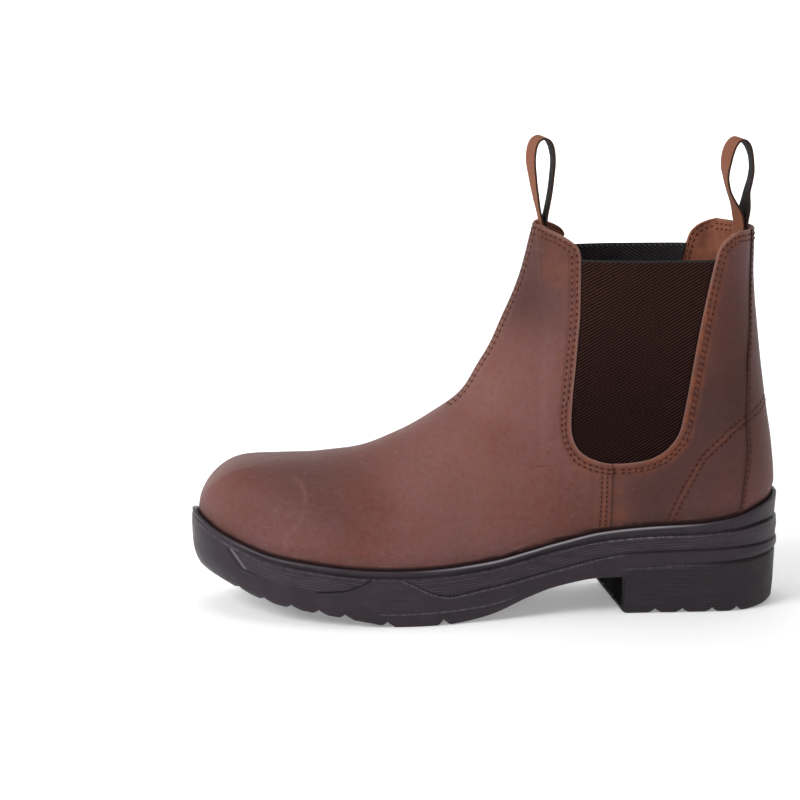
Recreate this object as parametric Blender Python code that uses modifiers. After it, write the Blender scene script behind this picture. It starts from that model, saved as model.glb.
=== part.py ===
import bpy
import bmesh
import numpy as np

# A left jodhpur boot, European size 39. Stations run from the heel to the toe, +Y is the outer
# (lateral) side, and every size here is in millimetres.
MM = 0.001
GAP = 0.3                   # clearance between pieces that meet
HEEL_BACK = -2.8            # station of the sole's rearmost point
TOE_TIP = 285.2             # station of its foremost point
LEATHER_THICKNESS = 2.2     # leather and its lining
ELASTIC_THICKNESS = 1.5
ELASTIC_RECESS = 0.5        # the elastic lies behind the leather's outer face
INSOLE_THICKNESS = 3.5
HEEL_ROUND = 34.0           # length of the rounded heel end, seen from above
TOE_ROUND = 70.0            # length of the rounded toe end
RIM_WIDTH = 3.0             # the sole's rim around the foot of the upper
RIM_TOP_SINK = 0.5          # the second ring of the upper lies this far under the rim's top
END_BLEND_WIDTH = 40.0      # where the sole is narrower, its edge takes the tuck of its end
HEEL_BREAST = 79.0          # station of the heel's front face
GROOVE_DEPTH = 2.6          # cross grooves of the tread
GROOVE_WIDTH = 3.6
HEEL_GROOVE_DEPTH = 1.8     # lengthwise grooves of the heel
HEEL_GROOVE_WIDTH = 2.6
HEEL_GROOVE_SPACING = 24.0
GUSSET_BOTTOM = 73.8
GUSSET_TOP = 172.0
NOTCH_TOP = 199.0           # the cut for the elastic runs out above the collar
NOTCH_REACH = 90.0          # and past both sides of the boot
TAPE_WIDTH = 16.0
TAPE_THICKNESS = 1.5
AROUND = 64                 # points around each ring
RINGS = 27                  # rings from the bottom edge to the collar


def table(columns, rows):
    return dict(zip(columns, np.array(rows, dtype=float).T))


# The sole from above: middle and half width at each station, and the line that the
# ridge of the foot follows.
OUTLINE = table(("station", "centre", "half_width", "ridge"), [
    (-3, 0.0, 35.0, 0.0),
    (40, 0.5, 35.0, 0.3),
    (80, 1.7, 33.6, 0.5),
    (115, 3.8, 34.4, 0.5),
    (150, 4.8, 41.2, 0.0),
    (185, 3.5, 49.4, -2.0),
    (210, 1.5, 50.3, -4.0),
    (235, -1.5, 49.2, -5.5),
    (260, -4.5, 47.5, -6.5),
    (286, -7.0, 46.0, -7.0),
])

# The sole from the side: top of the rim, bed that carries the insole, underside, and how far
# the lower edge tucks in.
SOLE_SIDE = table(("station", "rim", "bed", "under", "tuck"), [
    (-3, 55.2, 38.5, 18.0, 1.2),
    (10, 52.0, 38.4, 18.0, 1.2),
    (25, 47.9, 38.2, 18.0, 1.2),
    (42, 45.4, 37.6, 18.0, 1.2),
    (66, 44.0, 35.3, 18.2, 1.2),
    (91, 41.0, 31.5, 18.0, 1.5),
    (110, 36.8, 27.5, 15.2, 1.7),
    (128, 32.6, 23.7, 9.6, 2.0),
    (143, 29.7, 21.0, 3.8, 2.0),
    (158, 28.2, 19.4, 0.8, 2.0),
    (168, 27.6, 18.8, 0.0, 2.0),
    (192, 27.2, 18.4, 0.0, 2.0),
    (205, 27.5, 18.5, 2.2, 2.0),
    (218, 28.5, 19.1, 4.6, 2.2),
    (232, 29.9, 20.4, 6.4, 2.6),
    (250, 32.1, 23.3, 8.9, 3.6),
    (264, 36.4, 27.0, 13.2, 5.0),
    (275, 41.0, 30.9, 17.2, 6.5),
    (286, 46.8, 35.2, 21.8, 8.0),
])

# The sole's wall from the rim's inner edge down: inset from the outline, drop below the rim,
# share of the way to the underside, and share of the tuck.
SOLE_WALL = table(("inset", "drop", "share", "tuck_share"), [
    (3.0, 0.8, 0.0, 0.0),
    (2.0, 0.0, 0.0, 0.0),
    (1.0, 1.0, 0.0, 0.0),
    (1.2, 4.5, 0.0, 0.0),
    (0.0, 6.5, 0.0, 0.0),
    (0.0, 6.5, 0.45, 0.08),
    (0.0, 6.5, 0.85, 0.45),
    (0.0, 6.5, 1.0, 1.0),
])

# The heel block, from its top inside the sole body to its lower edge.
HEEL_BLOCK = table(("height", "inset", "breast_lean"), [
    (21.0, 0.8, 0.0),
    (10.0, 0.8, 0.6),
    (1.2, 1.2, 1.4),
    (0.0, 2.4, 0.6),
])

# Rings of the upper from its bottom edge to the collar: the front and back point of each, as
# a station and a rise above the rim's toe end or heel end, and the dip of the ring between them.
UPPER_RINGS = table(("front_station", "front_rise", "back_station", "back_rise", "dip"), [
    (281.9, -9.0, 0.5, -15.0, 0.0),
    (281.9, -0.5, 0.5, -0.5, 0.0),
    (281.2, 6.0, 0.1, 5.5, 0.0),
    (279.2, 12.0, 0.5, 12.0, 1.0),
    (275.8, 17.5, 1.2, 18.0, 3.0),
    (270.8, 22.0, 2.0, 24.0, 6.5),
    (263.3, 25.4, 2.8, 29.5, 9.0),
    (253.0, 26.6, 3.6, 34.0, 8.5),
    (238.5, 27.0, 4.5, 39.0, 6.0),
    (220.0, 28.4, 5.4, 44.5, 3.0),
    (200.0, 32.3, 6.4, 50.5, 1.0),
    (184.0, 38.9, 7.4, 57.0, 0.0),
    (169.0, 47.6, 8.6, 65.0, 0.0),
    (155.0, 59.4, 9.9, 75.0, 0.0),
    (144.0, 76.6, 11.2, 85.5, 0.0),
    (134.7, 96.2, 12.6, 97.5, 0.0),
    (127.0, 116.2, 13.6, 112.0, 0.0),
    (121.0, 141.0, 13.7, 130.5, 0.0),
])
LEVEL_RING = 8              # from this ring up, a ring no longer follows the sole's rim

# The shaft from the front: half width, and the lengths of its rounded front and back.
SHAFT = table(("height", "half_width", "front_round", "back_round"), [
    (20, 32.0, 66.7, 30.7),
    (55, 32.4, 66.7, 30.7),
    (80, 32.4, 62.0, 29.5),
    (105, 32.0, 52.0, 28.5),
    (130, 32.8, 48.0, 30.0),
    (160, 34.8, 52.0, 33.0),
    (190, 36.5, 60.0, 36.0),
])
SHAFT_CENTRE = 1.0
FOOT_TO_SHAFT_RISE = (4.0, 45.0)        # rise above the rim over which the foot becomes shaft
FOOT_TO_SHAFT_STATION = (178.0, 118.0)  # and the stations over which it does
SWELL = 1.3                 # the leather swells this far out over the rim
SWELL_RISE = 42.0
ARCH_FOOT = 2.0             # the arch over the foot springs from this far under the rim
VAMP_POWER = 2.1            # roundness of that arch: 2 is an ellipse, more is boxier
TOE_BOX_POWER = 2.6
TOE_BOX_STATION = (190.0, 260.0)

# The notch for the elastic, and above it the rounded corners of the two tabs.
GUSSET = table(("height", "front", "back"), [
    (73.8, 83.0, 83.0),
    (74.4, 89.7, 74.6),
    (75.8, 94.7, 67.8),
    (77.3, 98.0, 64.3),
    (80.2, 102.0, 59.9),
    (83.2, 104.1, 57.0),
    (86.0, 105.3, 54.9),
    (90.6, 106.3, 52.8),
    (95.0, 106.5, 51.8),
    (105.0, 106.0, 50.0),
    (125.0, 104.5, 47.1),
    (150.0, 102.9, 43.0),
    (172.0, 102.7, 38.3),
    (177.0, 103.6, 36.6),
    (181.0, 107.8, 33.2),
    (184.0, 113.4, 28.0),
    (186.0, 118.5, 22.5),
    (200.0, 126.0, 18.0),
])

# Half the gap between the two legs of a pull loop, up from its sewn end.
PULL_LOOP = table(("height", "half_gap"), [
    (0.0, 0.75),
    (15.0, 0.75),
    (22.0, 1.8),
    (32.0, 3.9),
    (42.0, 5.2),
    (49.0, 4.8),
    (52.6, 3.0),
    (53.8, 0.0),
])
LOOP_FOOT = 173.0           # height of the sewn ends
LOOP_OPENING = 18.0         # the legs part this far above them
PULL_LOOPS = {              # station of the sewn end, and forward lean in radians
    "pull_loop_front": (114.6, 0.06),
    "pull_loop_back": (18.95, 0.0),
}

FOREFOOT_GROOVES = (166.0, 193.0, 213.0, 225.5, 238.0, 250.5, 262.0)
HEEL_GROOVES = (21.5, 34.5, 48.0, 61.5)

COLOURS = {                 # sRGB hex, roughness
    "sole_unit": ("#2B292C", 0.55),
    "insole": ("#8C6A52", 0.85),
    "upper": ("#704A42", 0.60),
    "gusset_lateral": ("#2F1F1B", 0.90),
    "gusset_medial": ("#2F1F1B", 0.90),
    "pull_loop_front": ("#84503A", 0.85),
    "pull_loop_back": ("#84503A", 0.85),
}


def smooth(xs, ys, x):
    """Curve through the points of a table that never overshoots them."""
    x = np.clip(np.asarray(x, dtype=float), xs[0], xs[-1])
    step = np.diff(xs)
    rise = np.diff(ys) / step
    product = rise[1:] * rise[:-1]
    total = np.where(product > 0, rise[1:] + rise[:-1], 1.0)
    slope = np.concatenate([[rise[0]], np.where(product > 0, 2 * product / total, 0.0), [rise[-1]]])
    i = np.clip(np.searchsorted(xs, x, side="right") - 1, 0, len(xs) - 2)
    t = (x - xs[i]) / step[i]
    keep = (1 + 2 * t) * (1 - t) ** 2
    return (keep * ys[i] + (1 - keep) * ys[i + 1]
            + step[i] * t * (1 - t) * ((1 - t) * slope[i] - t * slope[i + 1]))


def outline(column, station):
    return smooth(OUTLINE["station"], OUTLINE[column], station)


def sole_side(column, station):
    return smooth(SOLE_SIDE["station"], SOLE_SIDE[column], station)


def shaft(column, height):
    return smooth(SHAFT["height"], SHAFT[column], height)


def ring_value(column, ring):
    return smooth(np.arange(len(UPPER_RINGS[column]), dtype=float), UPPER_RINGS[column], ring)


def ease(start, end, x):
    t = np.clip((x - start) / (end - start), 0, 1)
    return t * t * (3 - 2 * t)


def end_round(distance, length):
    """Share of the full width at a distance from a rounded end: a quarter ellipse."""
    return np.sqrt(1 - np.clip(1 - distance / length, 0, 1) ** 2)


def least(*shares, power=4.0):
    """Soft minimum of shares between 0 and 1, which is 1 where all of them are 1."""
    total = sum(np.maximum(share, 1e-4) ** -power for share in shares) - (len(shares) - 1)
    return total ** (-1 / power)


def outline_sides(station, inset):
    """Lateral and medial edge of the sole, moved in by inset."""
    share = (end_round(station - HEEL_BACK - inset, HEEL_ROUND - inset)
             * end_round(TOE_TIP - inset - station, TOE_ROUND - inset))
    ridge = outline("ridge", station)
    middle = outline("centre", station)
    half = outline("half_width", station) - inset
    return ridge + (middle + half - ridge) * share, ridge + (middle - half - ridge) * share


TOE_RIM = float(sole_side("rim", UPPER_RINGS["front_station"][0]))
HEEL_RIM = float(sole_side("rim", UPPER_RINGS["back_station"][0]))
PROFILE_STEPS = np.linspace(0, len(UPPER_RINGS["front_rise"]) - 1, 600)
FRONT_STATIONS = ring_value("front_station", PROFILE_STEPS)
FRONT_HEIGHTS = TOE_RIM + ring_value("front_rise", PROFILE_STEPS)
BACK_STATIONS = ring_value("back_station", PROFILE_STEPS)
BACK_HEIGHTS = HEEL_RIM + ring_value("back_rise", PROFILE_STEPS)


def ridge_height(station):
    """Top of the foot at a station: the front profile read from the toe's foremost point up."""
    tip = int(np.argmax(FRONT_STATIONS))
    stations = np.append(FRONT_STATIONS[tip:], FRONT_STATIONS[-1] - 6.0)
    heights = np.append(FRONT_HEIGHTS[tip:], FRONT_HEIGHTS[-1] + 300.0)
    return np.interp(station, stations[::-1], heights[::-1])


def wall_sides(station, height):
    """Lateral and medial outer face of the upper at a point of its side view."""
    inset = RIM_WIDTH + GAP
    rim = sole_side("rim", station)
    in_shaft = ease(*FOOT_TO_SHAFT_RISE, height - rim) * ease(*FOOT_TO_SHAFT_STATION, station)
    middle = outline("centre", station) * (1 - in_shaft) + SHAFT_CENTRE * in_shaft
    half = ((outline("half_width", station) - inset) * (1 - in_shaft)
            + shaft("half_width", height) * in_shaft)
    swell = SWELL * np.sin(np.pi * np.clip((height - rim) / SWELL_RISE, 0, 1))
    base = rim - ARCH_FOOT
    power = VAMP_POWER + (TOE_BOX_POWER - VAMP_POWER) * ease(*TOE_BOX_STATION, station)
    climb = np.clip((height - base) / np.maximum(ridge_height(station) - base, 1.0), 0, 1)
    arch = (1 - climb ** power) ** (1 / power)
    front = np.interp(height, FRONT_HEIGHTS, FRONT_STATIONS)
    back = np.interp(height, BACK_HEIGHTS, BACK_STATIONS)
    share = least(arch,
                  end_round(np.maximum(front - station, 0), shaft("front_round", height)),
                  end_round(np.maximum(station - back, 0), shaft("back_round", height)))
    ridge = outline("ridge", station)
    return (ridge + (middle + half + swell - ridge) * share,
            ridge + (middle - half - swell - ridge) * share)


def along(back, front):
    """Stations from the front end of a ring to its back end, closer together at both ends."""
    turn = np.linspace(0, np.pi, AROUND // 2 + 1)
    return back + (front - back) * (1 + np.cos(turn)) / 2


def upper_ring(ring):
    """One ring of the upper: stations, heights, lateral and medial edge."""
    station = along(ring_value("back_station", ring), ring_value("front_station", ring))
    far = (station[0] - station) / (station[0] - station[-1])
    low = sole_side("bed", station) + GAP
    rim = sole_side("rim", station) - RIM_TOP_SINK
    if ring < 1:
        height = low + (rim - low) * ring
    else:
        front_rise = ring_value("front_rise", ring)
        back_rise = ring_value("back_rise", ring)
        along_rim = sole_side("rim", station) + front_rise + (back_rise - front_rise) * far
        front = TOE_RIM + front_rise
        level = front + (HEEL_RIM + back_rise - front) * far ** 2
        level -= 4 * ring_value("dip", ring) * far * (1 - far)
        free = ease(1, LEVEL_RING, ring)
        height = along_rim * (1 - free) + level * free
    lateral, medial = wall_sides(station, height)
    return station, height, lateral, medial


SIDE_STATIONS = np.linspace(150, 250, 400)
LATERAL_EDGE = outline_sides(SIDE_STATIONS, 0)[0].max()
MEDIAL_EDGE = outline_sides(SIDE_STATIONS, 0)[1].min()
MIDDLE_Y = (LATERAL_EDGE + MEDIAL_EDGE) / 2
MIDDLE_STATION = (HEEL_BACK + TOE_TIP) / 2


def place(station, y, height):
    """From stations and heights to the boot's own frame, with its origin under the box's middle."""
    station, y, height = np.broadcast_arrays(station, y, height)
    return np.stack([station - MIDDLE_STATION, y - MIDDLE_Y, height], axis=-1) * MM


def closed_ring(station, height, lateral, medial):
    """Points down the lateral side from front to back and up the medial side again."""
    return np.concatenate([place(station, lateral, height), place(station, medial, height)[::-1]])


def loft(name, rings, capped, around=True):
    """Mesh through rows of equal count: around a ring or as a patch, its ends closed if capped."""
    count = len(rings[0])
    bm = bmesh.new()
    verts = [[bm.verts.new(point) for point in ring] for ring in rings]
    for low, high in zip(verts, verts[1:]):
        for i in range(count if around else count - 1):
            j = (i + 1) % count
            bm.faces.new((low[i], low[j], high[j], high[i]))
    if capped:
        for ring in (verts[0], verts[-1]):
            for i in range(count // 2 - 1):
                bm.faces.new((ring[i], ring[i + 1], ring[count - 2 - i], ring[count - 1 - i]))
    bmesh.ops.remove_doubles(bm, verts=bm.verts, dist=1e-6)
    if capped:
        bmesh.ops.recalc_face_normals(bm, faces=bm.faces)
    mesh = bpy.data.meshes.new(name)
    bm.to_mesh(mesh)
    bm.free()
    mesh.shade_smooth()
    mesh.set_sharp_from_angle(angle=0.6)
    return bpy.data.objects.new(name, mesh)


def prism(name, points, side_from, side_to):
    """A side-view outline carried across the boot from one Y to another."""
    bm = bmesh.new()
    face = bm.faces.new([bm.verts.new(place(s, side_from + MIDDLE_Y, z)) for s, z in points])
    moved = bmesh.ops.extrude_face_region(bm, geom=[face])["geom"]
    across = (0, (side_to - side_from) * MM, 0)
    bmesh.ops.translate(bm, vec=across, verts=[v for v in moved if isinstance(v, bmesh.types.BMVert)])
    bmesh.ops.recalc_face_normals(bm, faces=bm.faces)
    mesh = bpy.data.meshes.new(name)
    bm.to_mesh(mesh)
    bm.free()
    return bpy.data.objects.new(name, mesh)


def boxes(name, places):
    """Several separate blocks in one mesh, each given by its middle and its size in metres."""
    bm = bmesh.new()
    for middle, size in places:
        block = bmesh.ops.create_cube(bm, size=1.0)["verts"]
        bmesh.ops.scale(bm, vec=size, verts=block)
        bmesh.ops.translate(bm, vec=middle, verts=block)
    mesh = bpy.data.meshes.new(name)
    bm.to_mesh(mesh)
    bm.free()
    return bpy.data.objects.new(name, mesh)


def linear(hex_colour):
    parts = [int(hex_colour[i:i + 2], 16) / 255 for i in (1, 3, 5)]
    return [c / 12.92 if c <= 0.04045 else ((c + 0.055) / 1.055) ** 2.4 for c in parts] + [1.0]


def finish(obj, parts):
    colour, roughness = COLOURS[obj.name]
    material = bpy.data.materials.new(obj.name)
    material.use_nodes = True
    shader = material.node_tree.nodes["Principled BSDF"]
    shader.inputs["Base Color"].default_value = linear(colour)
    shader.inputs["Roughness"].default_value = roughness
    shader.inputs["Metallic"].default_value = 0.0
    obj.data.materials.append(material)
    parts.objects.link(obj)


def hide_cutter(obj, cutters):
    cutters.objects.link(obj)
    obj.hide_render = True
    obj.display_type = "WIRE"
    return obj


def add_boolean(obj, operation, other):
    modifier = obj.modifiers.new(other.name, "BOOLEAN")
    modifier.operation = operation
    modifier.solver = "EXACT"
    modifier.object = other


def add_solidify(obj, thickness):
    modifier = obj.modifiers.new("wall", "SOLIDIFY")
    modifier.thickness = thickness * MM
    modifier.offset = -1
    modifier.use_even_offset = True


def sole_rings():
    """Bed, cup wall, rim and outer wall, down to the underside."""
    inset = RIM_WIDTH
    station = along(HEEL_BACK + inset, TOE_TIP - inset)
    rings = [closed_ring(station, sole_side("bed", station), *outline_sides(station, inset))]
    for inset, drop, share, tuck_share in zip(*SOLE_WALL.values()):
        end_tuck = sole_side("tuck", (HEEL_BACK, TOE_TIP)) * tuck_share
        station = along(HEEL_BACK + inset + end_tuck[0], TOE_TIP - inset - end_tuck[1])
        top = sole_side("rim", station) - drop
        height = top + (sole_side("under", station) - top) * share
        edge = inset + sole_side("tuck", station) * tuck_share
        span = (station[0] - station) / (station[0] - station[-1])
        end_inset = inset + end_tuck[1] * (1 - span) + end_tuck[0] * span
        lateral, medial = outline_sides(station, end_inset)
        widen = (end_inset - edge) * np.minimum(1, (lateral - medial) / END_BLEND_WIDTH)
        rings.append(closed_ring(station, height, lateral + widen, medial - widen))
    return rings


def heel_rings():
    """The heel block: rounded behind, cut straight across at the breast."""
    rings = []
    for height, inset, lean in zip(*HEEL_BLOCK.values()):
        turn = np.linspace(np.pi / 2, 0, AROUND // 4 + 1)
        back = HEEL_BACK + inset
        station = back + (HEEL_BREAST + lean - back) * (1 - np.cos(turn))
        rings.append(closed_ring(station, height, *outline_sides(station, inset)))
    return rings


def cross_grooves(below=6.0, width=130.0):
    """Blocks for the grooves across the forefoot and the heel."""
    blocks = []
    for station in FOREFOOT_GROOVES + HEEL_GROOVES:
        ground = float(sole_side("under", station)) if station > HEEL_BREAST else 0.0
        middle = place(station, MIDDLE_Y, ground + (GROOVE_DEPTH - below) / 2)
        blocks.append((middle, np.array((GROOVE_WIDTH, width, GROOVE_DEPTH + below)) * MM))
    return blocks


def lengthwise_grooves(below=6.0, past_breast=5.0):
    """Blocks for the heel's two grooves that run forward from its second cross groove."""
    start = HEEL_GROOVES[1]
    end = HEEL_BREAST + past_breast
    size = np.array((end - start, HEEL_GROOVE_WIDTH, HEEL_GROOVE_DEPTH + below)) * MM
    height = (HEEL_GROOVE_DEPTH - below) / 2
    middle = float(outline("centre", start))
    return [(place((start + end) / 2, middle + side * HEEL_GROOVE_SPACING / 2, height), size)
            for side in (-1, 1)]


def build_sole(parts, cutters):
    sole = loft("sole_unit", sole_rings(), capped=True)
    heel = hide_cutter(loft("heel_form", heel_rings(), capped=True), cutters)
    add_boolean(sole, "UNION", heel)
    for name, blocks in (("cross_grooves", cross_grooves()), ("heel_grooves", lengthwise_grooves())):
        add_boolean(sole, "DIFFERENCE", hide_cutter(boxes(name, blocks), cutters))
    finish(sole, parts)


def build_insole(parts):
    inset = RIM_WIDTH + LEATHER_THICKNESS + 3 * GAP
    station = along(HEEL_BACK + inset, TOE_TIP - inset)
    sides = outline_sides(station, inset)
    bottom = sole_side("bed", station) + GAP
    rings = [closed_ring(station, bottom + rise, *sides) for rise in (0.0, INSOLE_THICKNESS)]
    finish(loft("insole", rings, capped=True), parts)


def gusset_outline(shrink, top):
    """Side view of the notch: down its front edge, round the bottom and up its back edge."""
    depth = np.sqrt(GUSSET["height"] - GUSSET_BOTTOM)
    sample = np.linspace(0, np.sqrt(top - GUSSET_BOTTOM), 22)[1:]
    height = GUSSET_BOTTOM + shrink + sample ** 2 * (top - GUSSET_BOTTOM - shrink) / (top - GUSSET_BOTTOM)
    front = smooth(depth, GUSSET["front"], sample) - shrink
    back = smooth(depth, GUSSET["back"], sample) + shrink
    return list(zip(front[::-1], height[::-1])) + list(zip(back, height))


def build_upper(parts, cutters):
    last = len(UPPER_RINGS["front_rise"]) - 1
    rings = [closed_ring(*upper_ring(ring)) for ring in np.linspace(0, last, RINGS)]
    upper = loft("upper", rings, capped=False)
    add_solidify(upper, LEATHER_THICKNESS)
    notch = prism("gusset_notch", gusset_outline(0.0, NOTCH_TOP), -NOTCH_REACH, NOTCH_REACH)
    hide_cutter(notch, cutters)
    add_boolean(upper, "DIFFERENCE", notch)
    finish(upper, parts)


def build_gusset(name, side, parts, cutters):
    margin = 6.0
    front = GUSSET["front"][GUSSET["height"] < GUSSET_TOP].max() + margin
    back = GUSSET["back"][GUSSET["height"] <= GUSSET_TOP].min() - margin
    station = np.linspace(front, back, 15)[::side]
    rows = []
    for height in np.linspace(GUSSET_BOTTOM - margin, GUSSET_TOP + margin, 15):
        face = wall_sides(station, height)[0 if side > 0 else 1]
        rows.append(place(station, face - side * ELASTIC_RECESS, height))
    panel = loft(name, rows, capped=False, around=False)
    add_solidify(panel, ELASTIC_THICKNESS)
    shape = prism(name + "_shape", gusset_outline(GAP, GUSSET_TOP), side * 10.0, side * NOTCH_REACH)
    add_boolean(panel, "INTERSECT", hide_cutter(shape, cutters))
    finish(panel, parts)


def loop_side(offset, from_height, count):
    """One side of a pull loop's outline, from its open end up to its top."""
    top = PULL_LOOP["height"][-1]
    turn = np.linspace(0, np.pi / 2, count)
    height = from_height + (top - from_height) * np.sin(turn)
    gap = smooth(PULL_LOOP["height"], PULL_LOOP["half_gap"], height)
    crown = 4.0
    lift = offset * np.clip((height - (top - crown)) / crown, 0, 1)
    return list(zip(np.maximum(gap + offset, 0.0), height + lift))


def build_pull_loop(name, parts):
    """Tape folded into a drop shape, its two ends side by side inside the collar."""
    station, lean = PULL_LOOPS[name]
    curve = bpy.data.curves.new(name, "CURVE")
    curve.dimensions = "2D"
    curve.fill_mode = "BOTH"
    curve.extrude = TAPE_WIDTH / 2 * MM
    half = TAPE_THICKNESS / 2
    for offset, low in ((half, PULL_LOOP["height"][0]), (-half, LOOP_OPENING)):
        side = loop_side(offset, low, 15)
        points = side[:-1] + [(0.0, side[-1][1])] + [(-x, z) for x, z in side[-2::-1]]
        spline = curve.splines.new("POLY")
        spline.points.add(len(points) - 1)
        for point, (x, z) in zip(spline.points, points):
            point.co = (x * MM, z * MM, 0, 1)
        spline.use_cyclic_u = True
    loop = bpy.data.objects.new(name, curve)
    loop.rotation_euler = (np.pi / 2, lean, 0)
    loop.location = place(station, SHAFT_CENTRE, LOOP_FOOT)
    finish(loop, parts)


def main():
    for obj in list(bpy.data.objects):
        bpy.data.objects.remove(obj, do_unlink=True)
    parts = bpy.data.collections.new("jodhpur_boot")
    cutters = bpy.data.collections.new("cutters")
    for collection in (parts, cutters):
        bpy.context.scene.collection.children.link(collection)
    build_sole(parts, cutters)
    build_insole(parts)
    build_upper(parts, cutters)
    build_gusset("gusset_lateral", 1, parts, cutters)
    build_gusset("gusset_medial", -1, parts, cutters)
    for name in PULL_LOOPS:
        build_pull_loop(name, parts)


main()
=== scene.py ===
import math

import bpy
import numpy as np
from mathutils import Matrix, Vector
from mathutils.bvhtree import BVHTree


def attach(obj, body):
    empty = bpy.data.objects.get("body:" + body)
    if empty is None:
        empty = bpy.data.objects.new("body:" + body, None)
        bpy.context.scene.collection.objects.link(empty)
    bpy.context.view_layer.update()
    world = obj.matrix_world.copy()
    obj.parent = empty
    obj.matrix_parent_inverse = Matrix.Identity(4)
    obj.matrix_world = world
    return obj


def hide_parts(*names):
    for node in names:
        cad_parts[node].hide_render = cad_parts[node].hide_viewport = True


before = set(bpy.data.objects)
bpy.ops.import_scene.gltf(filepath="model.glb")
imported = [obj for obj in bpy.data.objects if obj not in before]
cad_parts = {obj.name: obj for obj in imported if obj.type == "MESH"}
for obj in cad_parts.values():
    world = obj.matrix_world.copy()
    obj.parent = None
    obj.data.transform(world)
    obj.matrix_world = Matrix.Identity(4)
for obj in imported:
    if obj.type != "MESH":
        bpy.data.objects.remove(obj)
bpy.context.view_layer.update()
print("frame loaded:", ", ".join(sorted(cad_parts)))

mm = 0.001


def columns(names, rows):
    return dict(zip(names.split(), np.array(rows, dtype=float).T))


# The last and the sole in millimetres, within 2 mm of the frame. Stations run from heel to toe.
last = {
    "heelBack": -2.8,
    "toeTip": 285.2,
    "heelRound": 34.0,
    "toeRound": 70.0,
    "rimWidth": 3.0,
    "gap": 0.3,
    "heelBreast": 79.0,
    "outline": columns("station centre halfWidth ridge", [
        (-3, 0.0, 35.0, 0.0),
        (40, 0.5, 35.0, 0.3),
        (80, 1.7, 33.6, 0.5),
        (115, 3.8, 34.4, 0.5),
        (150, 4.8, 41.2, 0.0),
        (185, 3.5, 49.4, -2.0),
        (210, 1.5, 50.3, -4.0),
        (235, -1.5, 49.2, -5.5),
        (260, -4.5, 47.5, -6.5),
        (286, -7.0, 46.0, -7.0),
    ]),
    "soleSide": columns("station rim bed under tuck", [
        (-3, 55.2, 38.5, 18.0, 1.2),
        (10, 51.2, 38.4, 18.0, 1.2),
        (25, 46.5, 38.2, 18.0, 1.2),
        (42, 43.9, 37.6, 18.0, 1.2),
        (66, 42.7, 35.3, 18.2, 1.2),
        (91, 40.6, 31.5, 18.0, 1.5),
        (110, 36.8, 27.5, 15.2, 1.7),
        (128, 32.6, 23.7, 9.6, 2.0),
        (143, 29.7, 21.0, 3.8, 2.0),
        (158, 28.2, 19.4, 0.8, 2.0),
        (168, 27.6, 18.8, 0.0, 2.0),
        (192, 27.2, 18.4, 0.0, 2.0),
        (205, 27.5, 18.5, 2.2, 2.0),
        (218, 28.5, 19.1, 4.6, 2.2),
        (232, 29.9, 20.4, 6.4, 2.6),
        (250, 32.1, 23.3, 8.9, 3.6),
        (264, 36.4, 27.0, 13.2, 5.0),
        (275, 41.0, 30.9, 17.2, 6.5),
        (286, 48.8, 35.2, 21.8, 8.0),
    ]),
    "rings": columns("frontStation frontRise backStation backRise dip", [
        (281.9, -9.0, 0.5, -15.0, 0.0),
        (281.9, -0.5, 0.5, -0.5, 0.0),
        (281.2, 6.0, 0.1, 5.5, 0.0),
        (279.2, 12.0, 0.5, 12.0, 1.0),
        (275.8, 17.5, 1.2, 18.0, 3.0),
        (270.8, 22.0, 2.0, 24.0, 6.5),
        (263.3, 25.4, 2.8, 29.5, 9.0),
        (253.0, 26.6, 3.6, 34.0, 8.5),
        (238.5, 27.0, 4.5, 39.0, 6.0),
        (220.0, 28.4, 5.4, 44.5, 3.0),
        (200.0, 32.3, 6.4, 50.5, 1.0),
        (184.0, 38.9, 7.4, 57.0, 0.0),
        (169.0, 47.6, 8.6, 65.0, 0.0),
        (155.0, 59.4, 9.9, 75.0, 0.0),
        (144.0, 76.6, 11.2, 85.5, 0.0),
        (134.7, 96.2, 12.6, 97.5, 0.0),
        (127.0, 116.2, 13.6, 112.0, 0.0),
        (121.0, 141.0, 13.7, 130.5, 0.0),
    ]),
    "rimSink": 0.5,
    "levelRing": 8,          # from here up a ring no longer follows the rim
    "shaft": columns("height halfWidth frontRound backRound", [
        (20, 32.0, 66.7, 30.7),
        (55, 32.4, 66.7, 30.7),
        (80, 32.4, 62.0, 29.5),
        (105, 32.0, 52.0, 28.5),
        (130, 32.8, 48.0, 30.0),
        (160, 34.8, 52.0, 33.0),
        (190, 36.5, 60.0, 36.0),
    ]),
    "shaftCentre": 1.0,
    "footToShaftRise": (4.0, 45.0),
    "footToShaftStation": (178.0, 118.0),
    "swell": 1.3,
    "swellRise": 42.0,
    "archFoot": 2.0,
    "vampPower": 2.1,
    "toeBoxPower": 2.6,
    "toeBoxStation": (190.0, 260.0),
    "notch": columns("height front back", [
        (73.8, 83.0, 83.0),
        (74.4, 89.7, 74.6),
        (75.8, 94.7, 67.8),
        (77.3, 98.0, 64.3),
        (80.2, 102.0, 59.9),
        (83.2, 104.1, 57.0),
        (86.0, 105.3, 54.9),
        (90.6, 106.3, 52.8),
        (95.0, 106.5, 51.8),
        (105.0, 106.0, 50.0),
        (125.0, 104.5, 47.1),
        (150.0, 102.9, 43.0),
        (172.0, 102.7, 38.3),
        (177.0, 103.6, 36.6),
        (181.0, 107.8, 33.2),
        (184.0, 113.4, 28.0),
        (186.0, 118.5, 22.5),
        (200.0, 126.0, 18.0),
    ]),
}
topRing = len(last["rings"]["frontRise"]) - 1


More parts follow.
